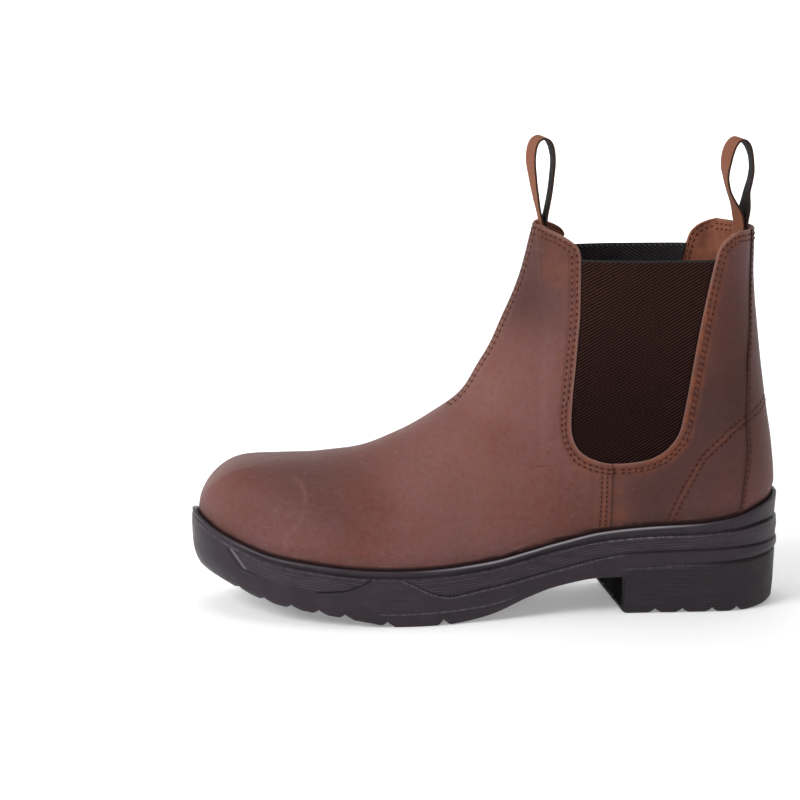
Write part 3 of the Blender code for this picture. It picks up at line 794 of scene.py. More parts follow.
def makeBackStrip():
    ring = upperRows()[6:, None]
    back = ringValue("backStation", ring)
    edge = back + 12.0
    for _ in range(6):       # the edge's station depends on the height there, which depends on it
        edge = smoothCurve(*stripLook["edge"].values(), ringHeight(ring, edge))
    t = np.linspace(0, 1, stripLook["columns"])[None, :]
    half = edge + (back - edge) * (1 - (1 - t) ** 2)
    height = ringHeight(ring, half)
    lateral, medial = wallSides(half, height)
    station, height = roundMiddle(half, half), roundMiddle(height, height)
    points = place(station, roundMiddle(lateral, medial), height)
    fromEdge = travelled(points) / mm
    fromEdge = np.minimum(fromEdge, fromEdge[:, -1:] - fromEdge)
    rise = height - read("soleSide", "rim", station)
    thick = stripLook["thinAtRim"] + (stripLook["thickness"] - stripLook["thinAtRim"]) * ease(0.5, 7.0, rise)
    counter = counterDistance(station, height)
    thick = thick - 0.35 * hill(fromEdge, 0.5) - 0.18 * hill(fromEdge - stripLook["row"], 0.6)
    thick = thick - 0.18 * hill(counter - upperLook["counterRow"], 0.6)
    points = points - gridNormals(points) * thick[..., None] * mm
    shade = np.maximum(0.5 * hill(fromEdge - stripLook["row"], 0.8), 0.85 * hill(fromEdge, 0.7))
    shade = np.maximum(shade, 0.4 * hill(counter - upperLook["counterRow"], 0.7))
    wear = 0.12 * hill(fromEdge - 1.0, 2.0)
    tone = stripLook["toneAndShadeShare"] * sum(spotFields(upperLook["toneAndShadeSpots"], station, height))
    # painted shade in the gap along the sole's lip
    shade = np.maximum(shade, upperLook["lipShade"] * (1 - ease(*upperLook["lipRise"], rise)))
    faces = quadGrid(*points.shape[:2], flip=True)
    piece = makePiece("back_strip", points, faces, [leather, cutEdge, leather], (),
                      {"edgeWear": wear, "seamShade": shade, "scuff": np.zeros(wear.shape),
                       "tone": np.clip(tone, 0, upperLook["toneAndShadeLimit"])})
    addWall(piece, stripLook["thickness"] + stripLook["sink"])
    return {"points": points, "fromEdge": fromEdge, "faces": faces}


strip = makeBackStrip()
print("back strip made")


# Woven elastic in the two notches, with a raised diagonal rib and a dark selvage along the top
gussetLook = {
    "top": 172.0,
    "gap": -0.25,            # its edges lie in the leather
    "recess": 0.5,
    "thickness": 1.5,
    "rows": 344,
    "columns": 124,
    "ribPitch": 1.37,
    "ribLean": 30.4,         # degrees above level, rising to the heel on the outer side
    "ribHeight": 0.3,
    "dashPitch": 2.0,        # the rib's floats, one after another
    "selvage": 1.1,
    "selvageColour": "#2C2A2A",
}


def makeElastic(name, colours):
    # covered rubber yarn, woven: matte, dark brown, with painted shade making the furrows almost black and a
    # painted highlight on the ribs' dull brown nap
    material, tree, shader = newMaterial(name, Roughness=0.9, Specular_IOR_Level=0.06)
    where = addNode(tree, "ShaderNodeTexCoord").outputs["Object"]
    rib = addNode(tree, "ShaderNodeAttribute", attribute_name="rib").outputs["Fac"]
    edge = addNode(tree, "ShaderNodeAttribute", attribute_name="selvage").outputs["Fac"]
    yarn = addNode(tree, "ShaderNodeTexNoise", {"Vector": where, "Scale": 1 / (0.7 * mm), "Detail": 2.0})
    worn = addNode(tree, "ShaderNodeMapRange", {"Value": yarn.outputs["Fac"], "From Min": 0.3,
                                                "From Max": 0.7, "To Min": 0.6})
    share = addNode(tree, "ShaderNodeMath", {0: rib, 1: worn.outputs["Result"]}, operation="MULTIPLY")
    body = addNode(tree, "ShaderNodeMix", {"Factor": share.outputs["Value"], "A": hexColour(colours[0]),
                                           "B": hexColour(colours[1])}, data_type="RGBA")
    finished = addNode(tree, "ShaderNodeMix", {"Factor": edge, "A": body.outputs["Result"],
                                               "B": hexColour(gussetLook["selvageColour"])}, data_type="RGBA")
    tree.links.new(finished.outputs["Result"], shader.inputs["Base Color"])
    bump = addNode(tree, "ShaderNodeBump", {"Height": yarn.outputs["Fac"], "Strength": 0.35,
                                            "Distance": 0.25 * mm})
    tree.links.new(bump.outputs["Normal"], shader.inputs["Normal"])
    return material


elasticOut = makeElastic("covered_elastic_ribbed", ("#020101", "#50332D"))
# the back in paler greys than the dark yarn: painted light on the boot's unlit inside
elasticIn = makeElastic("covered_elastic_back", ("#1E1B1D", "#787478"))


def makeGusset(node, side):
    look = gussetLook
    low = notchFoot + look["gap"]
    height = np.linspace(low + 0.02, look["top"], look["rows"])[:, None]
    front = notchEdge("front", height - look["gap"]) - look["gap"]
    back = notchEdge("back", height - look["gap"]) + look["gap"]
    station = back + (front - back) * np.linspace(0, 1, look["columns"])[None, :]
    height = np.broadcast_to(height, station.shape)
    y = wallY(station, height, side) - side * look["recess"]
    points = place(station, y, height)
    lean = math.radians(look["ribLean"])
    count = (side * station * math.sin(lean) + height * math.cos(lean)) / look["ribPitch"]
    along = (station * math.cos(lean) - side * height * math.sin(lean)) / look["dashPitch"]
    dash = 0.5 + 0.5 * np.cos(2 * np.pi * (along + 0.5 * np.floor(count)))
    rib = np.abs(np.sin(np.pi * count)) ** 3.2 * (0.72 + 0.28 * dash)
    selvage = ease(look["top"] - look["selvage"], look["top"] - look["selvage"] + 0.4, height)
    edge = np.minimum(np.minimum(front - station, station - back), height - low)
    relief = look["ribHeight"] * ((rib - 1) * (1 - selvage) + 0.4 * selvage) - 0.5 * hill(edge, 1.2)
    points = points + side * gridNormals(points) * relief[..., None] * mm
    faces = quadGrid(*points.shape[:2], flip=side < 0)
    piece = makePiece(node, points, faces, [elasticOut, elasticIn, elasticIn], [node],
                      {"rib": rib * (0.55 + 0.45 * ease(76.0, 160.0, height)), "selvage": selvage})
    addWall(piece, look["thickness"] - look["ribHeight"])


makeGusset("gusset_lateral", 1)
makeGusset("gusset_medial", -1)
print("elastic panels made")


# Pull loops: twill tape folded into a drop shape, its ends down inside the collar
loopLook = {
    "foot": 173.0,
    "width": 16.0,
    "thickness": 1.0,
    "along": 160,
    "across": 22,
    # where each is sewn in, its lean in radians, how far its top drifts forward,
    # and up the loop half the gap between its legs and the turn of each leg in degrees
    "places": {
        "pull_loop_front": {
            "station": 116.0, "lean": 0.04, "drift": -0.2,
            "shape": columns("height halfGap frontTurn backTurn", [
                (0.0, 0.6, -3, -3), (12.0, 0.6, -3, -3), (15.5, 1.1, -3, -3), (19.4, 1.9, -3, -4),
                (24.2, 2.9, -1, -4), (33.8, 4.4, 2, -4), (43.4, 5.4, 5, -3), (48.2, 5.0, 5, -1),
                (52.2, 3.7, 4, 1), (54.6, 0.0, 3, 3)])},
        "pull_loop_back": {
            "station": 18.95, "lean": 0.0, "drift": 1.8,
            "shape": columns("height halfGap frontTurn backTurn", [
                (0.0, 0.6, 4, 4), (12.0, 0.7, 5, 5), (16.0, 1.3, 5, 5), (20.0, 2.2, 2, 4), (24.0, 3.3, -3, 0),
                (29.0, 4.6, -6, -5), (34.0, 5.8, -5, -6.5), (39.0, 6.4, 0, -6.5), (44.0, 6.0, 4, -6),
                (48.6, 4.9, 5, -3), (51.8, 3.2, 4, 1), (53.8, 0.0, 3, 3)])},
    },
}


def makeTape(name, colours):
    # nylon twill tape, woven: soft sheen, slanting ribs too fine to show, drawn at 1.1 mm
    material, tree, shader = newMaterial(name, Roughness=0.85, Specular_IOR_Level=0.2)
    along = addNode(tree, "ShaderNodeAttribute", attribute_name="tapeAlong").outputs["Fac"]
    across = addNode(tree, "ShaderNodeAttribute", attribute_name="tapeAcross").outputs["Fac"]
    slant = addNode(tree, "ShaderNodeMath", {0: along, 1: across}, operation="ADD")
    phase = addNode(tree, "ShaderNodeMath", {0: slant.outputs["Value"], 1: 2 * math.pi / 1.1},
                    operation="MULTIPLY")
    wave = addNode(tree, "ShaderNodeMath", {0: phase.outputs["Value"]}, operation="SINE")
    share = addNode(tree, "ShaderNodeMapRange", {"Value": wave.outputs["Value"], "From Min": -1.0,
                                                 "From Max": 0.8})
    mix = addNode(tree, "ShaderNodeMix", {"Factor": share.outputs["Result"], "A": hexColour(colours[0]),
                                          "B": hexColour(colours[1])}, data_type="RGBA")
    tree.links.new(mix.outputs["Result"], shader.inputs["Base Color"])
    bump = addNode(tree, "ShaderNodeBump", {"Height": wave.outputs["Value"], "Strength": 0.5,
                                            "Distance": 0.15 * mm})
    tree.links.new(bump.outputs["Normal"], shader.inputs["Normal"])
    return material


tapeOut = makeTape("nylon_twill_tape", ("#55301F", "#9A5F44"))
tapeIn = makeTape("nylon_twill_tape_back", ("#0F090B", "#281A20"))
tapeEdge = plainNoise("nylon_twill_tape_edge", ("#3A2018", "#22120E"), 1.2, 0.85, 0.4, 0.4)


def makePullLoop(node):
    look = loopLook
    spot = look["places"][node]
    shape = spot["shape"]
    top = shape["height"][-1]
    rise = top * np.sin(np.linspace(0, np.pi / 2, look["along"] // 2))
    below, rowsBelow = np.sqrt(top - rise), np.sqrt(top - shape["height"])[::-1]    # makes the top round
    gap, frontTurn, backTurn = (smoothCurve(rowsBelow, shape[k][::-1], below)
                                for k in ("halfGap", "frontTurn", "backTurn"))
    gap[-1] = 0.0
    x = np.concatenate([gap, -gap[-2::-1]])          # up the front leg and down the back leg
    turn = np.radians(np.concatenate([frontTurn, backTurn[-2::-1]]))[:, None]
    rise = np.concatenate([rise, rise[-2::-1]])
    path = travelled(np.stack([x, rise], 1))
    wide = np.linspace(-0.5, 0.5, look["across"]) * look["width"]
    free = ease(13.0, 30.0, rise)[:, None]
    station = x[:, None] * np.cos(turn) - wide[None, :] * np.sin(turn) + spot["drift"] * free ** 2
    y = x[:, None] * np.sin(turn) + wide[None, :] * np.cos(turn)
    lean = spot["lean"]
    tall = np.broadcast_to(rise[:, None], station.shape)
    points = place(spot["station"] + station * math.cos(lean) + tall * math.sin(lean),
                   last["shaftCentre"] + y,
                   look["foot"] + tall * math.cos(lean) - station * math.sin(lean))
    faces = quadGrid(*points.shape[:2], flip=True)
    piece = makePiece(node, points, faces, [tapeOut, tapeIn, tapeEdge], [node],
                      {"tapeAlong": np.broadcast_to(path[:, None], station.shape),
                       "tapeAcross": np.broadcast_to(wide[None, :], station.shape)})
    addWall(piece, look["thickness"], 0.0)


for node in loopLook["places"]:
    makePullLoop(node)
print("pull loops made")


# The seams' stitches, each a short thread that dips into the leather at both ends
def surfaceTree(*parts):
    points, faces, start = [], [], 0
    for partPoints, partFaces in parts:
        flat = np.asarray(partPoints).reshape(-1, 3)
        points.extend(flat.tolist())
        faces.extend((partFaces + start).tolist())
        start += len(flat)
    return BVHTree.FromPolygons(points, faces)


def offsetPath(path, distance, leatherOnRight):
    step = np.gradient(path, axis=0)
    step = step / np.linalg.norm(step, axis=1, keepdims=True)
    sideways = np.stack([step[:, 1], -step[:, 0]], 1) * (1 if leatherOnRight else -1)
    moved = path + sideways * distance
    return moved[nearest(path, *moved.T) > abs(distance) - 0.05]      # without the loops that corners give


def onSide(path, side):
    station, height = path[:, 0], path[:, 1]
    return place(station, wallY(station, height, side) + side * upperLook["seamProbe"], height)


def lineAcross(points, across, value):
    # a line up a panel's rows where the distance across has a given value
    found = []
    for row, distance in zip(points, across):
        if distance.min() <= value <= distance.max():
            order = np.argsort(distance)
            found.append([np.interp(value, distance[order], row[order, i]) for i in range(3)])
    return np.array(found)


def stitchShapes(line, tree, pitch):
    travel = travelled(line) / mm
    points, faces = [], []
    sections, sides = 5, 6
    turn = np.linspace(0, 2 * np.pi, sides, endpoint=False)
    girth = np.array([0.35, 0.9, 1.0, 0.9, 0.35])
    lift = np.array([-0.32, 0.0, 0.1, 0.0, -0.32])
    stitch = pitch * upperLook["stitch"]
    for first in np.arange(0.5, travel[-1] - stitch, pitch):
        spots = first + np.linspace(0, stitch, sections)
        way = np.stack([np.interp(spots, travel, line[:, i]) for i in range(3)], 1)
        onLeather, up = zip(*[tree.find_nearest(Vector(spot))[:2] for spot in way])
        onLeather, up = np.array(onLeather), np.array(up[2])
        ahead = onLeather[-1] - onLeather[0]
        ahead = ahead / max(np.linalg.norm(ahead), 1e-9)
        sideways = np.cross(up, ahead)
        start = len(points)
        for middle, size, high in zip(onLeather, girth, lift):
            spread = np.cos(turn)[:, None] * sideways + np.sin(turn)[:, None] * up
            ring = middle + up * high * mm + spread * size * upperLook["threadRadius"] * mm
            points.extend(ring)
        faces.extend(quadGrid(sections, sides, wrap=True, start=start).tolist())
        faces.append(list(range(start, start + sides)))
        faces.append(list(range(start + sections * sides - 1, start + (sections - 1) * sides - 1, -1)))
    return points, faces


def makeStitches(name, lines, tree):
    pitch = upperLook["sidePitch" if name == "stitches_side_seam" else "pitch"]
    points, faces = [], []
    for line in lines:
        if len(line) > 1:
            morePoints, moreFaces = stitchShapes(line, tree, pitch)
            faces.extend([[i + len(points) for i in face] for face in moreFaces])
            points.extend(morePoints)
    makePiece(name, np.array(points), faces, [thread])


def seamLines():
    look = upperLook
    lines = {"stitches_" + seam: [] for seam in ("notch", "side_seam", "counter", "front_seam")}
    for side in (1, -1):
        for distance in look["stitchRows"]:
            for column in ("front", "back"):
                path = offsetPath(cutPath(column, side)[1:], distance, column == "front")
                lines["stitches_notch"].append(onSide(path, side))
        for distance in look["seamRows"]:
            top = notchFoot - look["stitchRows"][1] - 0.2
            rim = float(read("soleSide", "rim", look["sideSeam"] + distance))
            path = np.stack([np.full(30, look["sideSeam"] + distance), np.linspace(top, rim + 0.5, 30)], 1)
            lines["stitches_side_seam"].append(onSide(path, side))
        for distance in (-look["counterRow"], look["counterRow"]):
            path = offsetPath(counterPath()[:-3], distance, True)
            lines["stitches_counter"].append(onSide(path, side))
    middle = frontHalf["height"].shape[1] // 2
    tall = frontHalf["height"][:, middle] > look["frontSeamEnd"] - 2
    for distance in look["frontRows"]:
        lines["stitches_front_seam"].append(
            lineAcross(frontPoints[tall], frontHalf["across"][tall], distance))
    half = strip["points"].shape[1] // 2
    lines["stitches_back_strip"] = [
        lineAcross(strip["points"][:, :half], strip["fromEdge"][:, :half], stripLook["row"]),
        lineAcross(strip["points"][:, half + 1:], strip["fromEdge"][:, half + 1:], stripLook["row"])]
    return lines


leatherTree = surfaceTree((upperPoints, upperFaces), (strip["points"], strip["faces"]))
sewn = seamLines()
for name, lines in sewn.items():
    makeStitches(name, lines, leatherTree)
makeStitches("stitches_inside", sewn["stitches_notch"], surfaceTree((innerPoints, upperFaces[:, ::-1])))
print("stitches made")


# The sole: one moulded rubber unit, cupped round the upper, with a lip, bands and panels on its wall
soleLook = {
    "stations": 300,
    "rows": 92,
    "strips": 40,
    "knee": (0.6, 0.3),              # share of the rows above the knee, and its share of the wall's height
    # inset and drop of each row over the lip
    "lipTop": [(3.0, 1.5), (2.85, 0.6), (2.4, 0.12), (1.9, 0.0), (1.3, 0.1), (0.8, 0.4), (0.45, 0.9)],
    "lipFoot": 1.4,
    "lipInset": (0.35, 1.1),         # at the lip's foot and at the ledge under it
    "lipLine": columns("station drop", [(-3, 12.4), (15, 8.0), (38, 5.2), (60, 4.6), (76, 4.4), (93, 4.1),
                                        (120, 3.4), (170, 3.3), (230, 3.2), (286, 3.2)]),
    "tickLine": columns("station height", [(-3, 32.3), (20, 31.9), (40, 31.2), (74, 30.4), (83, 29.5),
                                           (92.6, 28.0), (101.5, 26.0), (113, 23.4), (135, 18.8), (151, 16.3),
                                           (158, 15.2), (165.8, 14.3), (175, 16.4), (183.8, 20.8),
                                           (191.9, 24.6), (200, 28.0)]),
    "heelTop": columns("station height", [(-3, 27.0), (10, 25.9), (19, 25.1), (32, 24.5), (50, 24.0),
                                          (62, 23.5), (76, 22.8), (84, 22.5)]),
    "parting": columns("station height", [(120, 13.0), (129.5, 12.1), (136.5, 9.7), (150, 7.2), (169.6, 6.1),
                                          (193.7, 5.7), (205, 6.0)]),
    "panel": np.array([(270.0, 32.6), (264.0, 24.4), (252.0, 20.4), (240.0, 17.9), (229.0, 16.8),
                       (223.5, 17.0), (215.5, 18.0), (209.5, 20.2), (204.5, 23.2), (214.0, 24.0),
                       (232.0, 25.2), (250.8, 28.2), (262.0, 31.0), (270.0, 32.6)]),
    "hatch": np.array([(207.0, 18.5), (202.0, 21.5), (197.0, 22.6), (191.0, 21.5), (184.0, 16.5),
                       (178.0, 12.0), (180.0, 7.4), (205.0, 7.4), (210.0, 12.0), (207.0, 18.5)]),
    "vee": np.array([(270.0, 32.6), (264.0, 24.4), (258.0, 22.2)]),
    "backEnd": 45.0,                 # the deeper lines round the back fade out up to here
    "foldFade": (6.0, 60.0),         # and so does the fold over the heel block
    "toeFade": (255.0, 275.0),       # the lip's ledge dies away at the toe
    "bandEnd": 199.0,                # the lined band and the wave under it
    "waveEnd": 197.0,
    "waveLines": (85.0, 190.0),
    "partingFade": (130.0, 138.0, 196.0, 204.0),
    "lipGlint": (72.0, 20.0),        # where the line under the lip shines most, and how far
    "lipShine": (30.0, 70.0, 145.0, 190.0),
    "heelShine": (30.0, 50.0),
    "wallCuts": {"backLip": 0.8, "band": 0.35, "wave": 0.45, "backWave": 0.5, "waveRidge": 0.25, "fold": 1.2,
                 "heelLine": 0.4, "heelStep": 0.3, "heelFoot": 0.9, "backSwell": 0.45, "arc": 0.8, "vee": 0.5,
                 "partingStep": 0.3, "partingLine": 0.2},
    "tuck": columns("way share", [(0.0, 0.0), (0.2, 0.0), (0.56, 0.08), (0.88, 0.45), (1.0, 1.0)]),
    "grooveSteps": (0.0, 0.4, 0.9, 1.6, 2.4, 3.4),       # from a groove's middle to its rounded shoulder
    "grooveDepth": (3.6, 2.2),       # under the forefoot and the heel
    "breastRound": 3.4,
    "breastBlend": (-2.5, 3.5),      # the heel's wall gives way to the waist's here, from the breast
    "breastLean": 1.6,
    "forefootGrooves": (168.8, 195.8, 215.6, 227.7, 240.1, 252.1, 263.0),
    "heelGrooves": (22.9, 35.4, 50.2, 63.6),
    "lengthGrooves": 12.0,           # from the heel's middle
    "lengthDepth": 1.8,
    "breastStep": 0.15,
    "waistEnd": 149.0,
    "waistLift": 1.3,
    "plaque": {"station": (88.0, 133.0), "halfWidth": 13.0, "corner": 4.0, "depth": 0.9},
    "ring": {"station": 140.0, "y": 24.0, "radius": 5.5, "height": 0.5},
}


def inPath(path, station, height):
    inside = np.zeros(np.shape(station), dtype=bool)
    for (s0, h0), (s1, h1) in zip(path[:-1], path[1:]):
        if h0 == h1:
            continue
        crosses = (height < h0) != (height < h1)
        inside ^= crosses & (station < s0 + (height - h0) * (s1 - s0) / (h1 - h0))
    return inside


def depthIn(path, station, height):
    # distance inside a closed path, negative outside it
    return nearest(path, station, height) * np.where(inPath(path, station, height), 1, -1)


def soleCurve(name, station):
    return smoothCurve(*soleLook[name].values(), station)


def soleStations():
    look = soleLook
    tuck = read("soleSide", "tuck", np.array([last["heelBack"], last["toeTip"]]))
    back, front = last["heelBack"] + tuck[0], last["toeTip"] - tuck[1]
    q = np.linspace(0, 1, look["stations"])
    free = back + (front - back) * (0.45 * q + 0.55 * (1 - np.cos(np.pi * q)) / 2)
    breast = last["heelBreast"]
    knots = [breast, breast + look["breastStep"], look["waistEnd"], look["waistEnd"] + 0.8]
    knots += [breast - look["breastRound"] * share for share in (0.1, 0.3, 0.6, 1.0)]
    for groove in look["forefootGrooves"] + look["heelGrooves"]:
        knots += [groove + side * step for step in look["grooveSteps"] for side in (1, -1)[:1 + (step > 0)]]
    knots = np.array(knots)
    clear = np.abs(free[:, None] - knots[None, :]).min(axis=1) > 0.25
    clear[[0, -1]] = True
    station = np.sort(np.concatenate([free[clear], knots]))[::-1]
    return station, (station - back) / (front - back)


def heelShare(station):
    before, after = soleLook["breastBlend"]
    return 1 - ease(last["heelBreast"] + before, last["heelBreast"] + after, station)


def tuckAt(station, height):
    # share of the lower edge's tuck by height, less on the heel block
    top = read("soleSide", "rim", station) - soleLook["lipFoot"]
    way = (top - height) / (top - read("soleSide", "under", station))
    return soleCurve("tuck", np.clip(way, 0, 1)) * (1 - 0.5 * heelShare(station))


def soleSides(q, inset, tuckShare, height=None):
    tuck = read("soleSide", "tuck", np.array([last["heelBack"], last["toeTip"]])) * tuckShare
    back, front = last["heelBack"] + inset + tuck[0], last["toeTip"] - inset - tuck[1]
    station = back + q * (front - back)
    share = tuckShare if height is None else tuckAt(station, height(station)[0])
    edge = inset + read("soleSide", "tuck", station) * share
    endInset = inset + tuck[1] * q + tuck[0] * (1 - q)
    lateral, medial = outlineSides(station, endInset)
    widen = (endInset - edge) * np.minimum(1, (lateral - medial) / 40.0)
    return station, lateral + widen, medial - widen


def groundHeight(station, y, share):
    # underside of the tread, heel and waist; share runs from 0 at the lateral edge to 1 at the medial one
    look = soleLook
    onHeel = station < last["heelBreast"] + look["breastStep"] / 2
    heelBevel = 2.8 * (1 - ease(-2.0, 19.0, station)) ** 1.4
    base = np.where(onHeel, heelBevel, read("soleSide", "under", station))
    inner = ease(0.0, 0.07, np.minimum(share, 1 - share))
    toBreast = np.clip((station - last["heelBreast"]) / look["breastRound"] + 1, 0, 1)
    base = base + np.where(onHeel, look["breastRound"] * (1 - np.sqrt(1 - toBreast ** 2)), 0.0)
    cut = 0.0
    for groove in look["forefootGrooves"] + look["heelGrooves"]:
        near = 1 - np.minimum(np.abs(station - groove) / look["grooveSteps"][-1], 1)
        cut = np.maximum(cut, look["grooveDepth"][int(groove < last["heelBreast"])] * near ** 1.5)
    middle = read("outline", "centre", station)
    lengthwise = look["lengthDepth"] * np.clip(
        (1.6 - np.abs(np.abs(y - middle) - look["lengthGrooves"])) / 0.6, 0, 1)
    cut = np.where(onHeel & (station > look["heelGrooves"][1]), np.maximum(cut, lengthwise), cut)
    waist = (~onHeel) & (station < look["waistEnd"] + 0.8)
    rise = look["waistLift"] * (1 - ease(look["waistEnd"], look["waistEnd"] + 0.8, station))
    hollow = rise * inner + 1.2 * np.sin(np.pi * share) * (1 - ease(120, look["waistEnd"], station))
    plaque = look["plaque"]
    mid = sum(plaque["station"]) / 2
    corner = plaque["corner"]
    outS = np.maximum(np.abs(station - mid) - (plaque["station"][1] - mid) + corner, 0)
    outY = np.maximum(np.abs(y - middle) - plaque["halfWidth"] + corner, 0)
    border = np.hypot(outS, outY) - corner
    hollow = hollow + plaque["depth"] * (1 - ease(-0.6, 0.6, border)) - 0.6 * hill(border - 1.2, 0.8)
    ring = look["ring"]
    fromRing = np.hypot(station - ring["station"], y - middle - ring["y"]) - ring["radius"]
    hollow = hollow - ring["height"] * hill(fromRing, 0.7)
    return base + cut + np.where(waist, hollow, 0.0)


def wallRelief(station, height):
    # how far the outer wall lies behind the outline, by station and height, with masks of painted shade in
    # its furrows and painted highlight on its crests
    look = soleLook
    cuts = look["wallCuts"]
    drop = read("soleSide", "rim", station) - height
    lip = soleCurve("lipLine", station)
    behind = 1 - ease(0.0, look["backEnd"], station)
    heel = heelShare(station)
    down = np.clip((drop - look["lipFoot"]) / (lip - look["lipFoot"]), 0, 1)
    top, ledge = look["lipInset"]
    toe = ease(*look["toeFade"], station)
    relief = (top + (ledge - top) * down) * (1 - ease(lip - 0.1, lip + 0.6, drop)) * (1 - 0.6 * toe)
    relief = relief + cuts["backLip"] * behind * hill(drop - lip, 0.6)
    # furrow: painted shade under the lip's ledge, in the grooves, the fold and the lines
    furrow = (0.3 + 0.5 * behind) * hill(drop - lip + 0.5, 0.6) * (1 - toe)
    broken = 0.6 + 0.4 * np.sin(1.9 * station + 2.0 * np.sin(0.61 * station))    # shines in stretches
    glint, reach = look["lipGlint"]
    # crest: painted highlight along the ledge, the wave, the vee and the parting line
    crest = (0.12 + 0.36 * hill(station - glint, reach)) * hill(drop - lip - 0.7, 0.35) * broken
    crest = crest * (1 - 0.8 * behind)
    tick = soleCurve("tickLine", station)
    band = ease(lip + 0.6, lip + 1.3, drop) * ease(tick - 0.1, tick + 0.5, height)
    band = band * (station < look["bandEnd"])
    relief = relief + cuts["band"] * band
    inBand = (drop > lip + 0.6) * (station < look["waveEnd"])
    relief = relief + (cuts["wave"] + cuts["backWave"] * behind) * hill(height - tick, 0.45) * inBand
    relief = relief - cuts["waveRidge"] * hill(height - tick + 0.8, 0.45) * inBand * (1 - behind)
    furrow = np.maximum(furrow, 0.7 * hill(height - tick, 0.45) * inBand)
    crest = np.maximum(crest, 0.2 * broken * hill(height - tick + 0.8, 0.35) * inBand * (1 - heel))
    top = soleCurve("heelTop", station)
    fold = hill(height - top, 0.7) * (1 - ease(*look["foldFade"], station))
    relief = relief + cuts["fold"] * fold
    furrow = np.maximum(furrow, fold)
    relief = relief + heel * (cuts["heelLine"] * hill(height - top, 0.4)
                              + cuts["heelStep"] * (1 - ease(top - 0.8, top + 0.2, height)))
    furrow = np.maximum(furrow, 0.5 * heel * hill(height - top, 0.4))
    paintedHighlight = broken * heel * hill(height - top + 0.9, 0.4) * ease(*look["heelShine"], station)
    crest = np.maximum(crest, 0.22 * paintedHighlight)
    relief = relief + heel * cuts["heelFoot"] * (1 - ease(0.0, 2.0, height)) ** 2
    relief = relief - cuts["backSwell"] * behind * (hill(height - (tick + top) / 2, 2.4)
                                                    + hill(height - (tick + 6.0), 3.0))
    inside = depthIn(look["panel"], station, height)
    arc = hill(nearest(look["panel"][4:9], station, height), 0.45)
    vee = hill(nearest(look["vee"], station, height), 0.5)
    relief = relief + cuts["arc"] * arc + cuts["vee"] * vee
    furrow = np.maximum(furrow, np.maximum(arc, 0.7 * vee))
    crest = np.maximum(crest, 0.3 * hill(nearest(look["vee"][:2] - (1.6, -0.6), station, height), 0.4))
    parting = soleCurve("parting", station)
    fade = look["partingFade"]
    along = ease(*fade[:2], station) * (1 - ease(*fade[2:], station))
    relief = relief + along * (cuts["partingStep"] * (1 - ease(parting - 0.3, parting + 0.3, height))
                               + cuts["partingLine"] * hill(height - parting, 0.35))
    crest = np.maximum(crest, 0.2 * broken * along * hill(height - parting - 0.6, 0.35))
    return relief, inside, band, furrow, crest


def wallHeight(station, v, floor):
    # from the lip's foot to the knee, the same over heel and waist, then down to the floor line
    rows, share = soleLook["knee"]
    rim, under = read("soleSide", "rim", station), read("soleSide", "under", station)
    top = rim - soleLook["lipFoot"]
    knee = under + share * (rim - under)
    if v < rows:
        return top + (knee - top) * v / rows
    return knee + (floor - knee) * (v - rows) / (1 - rows)


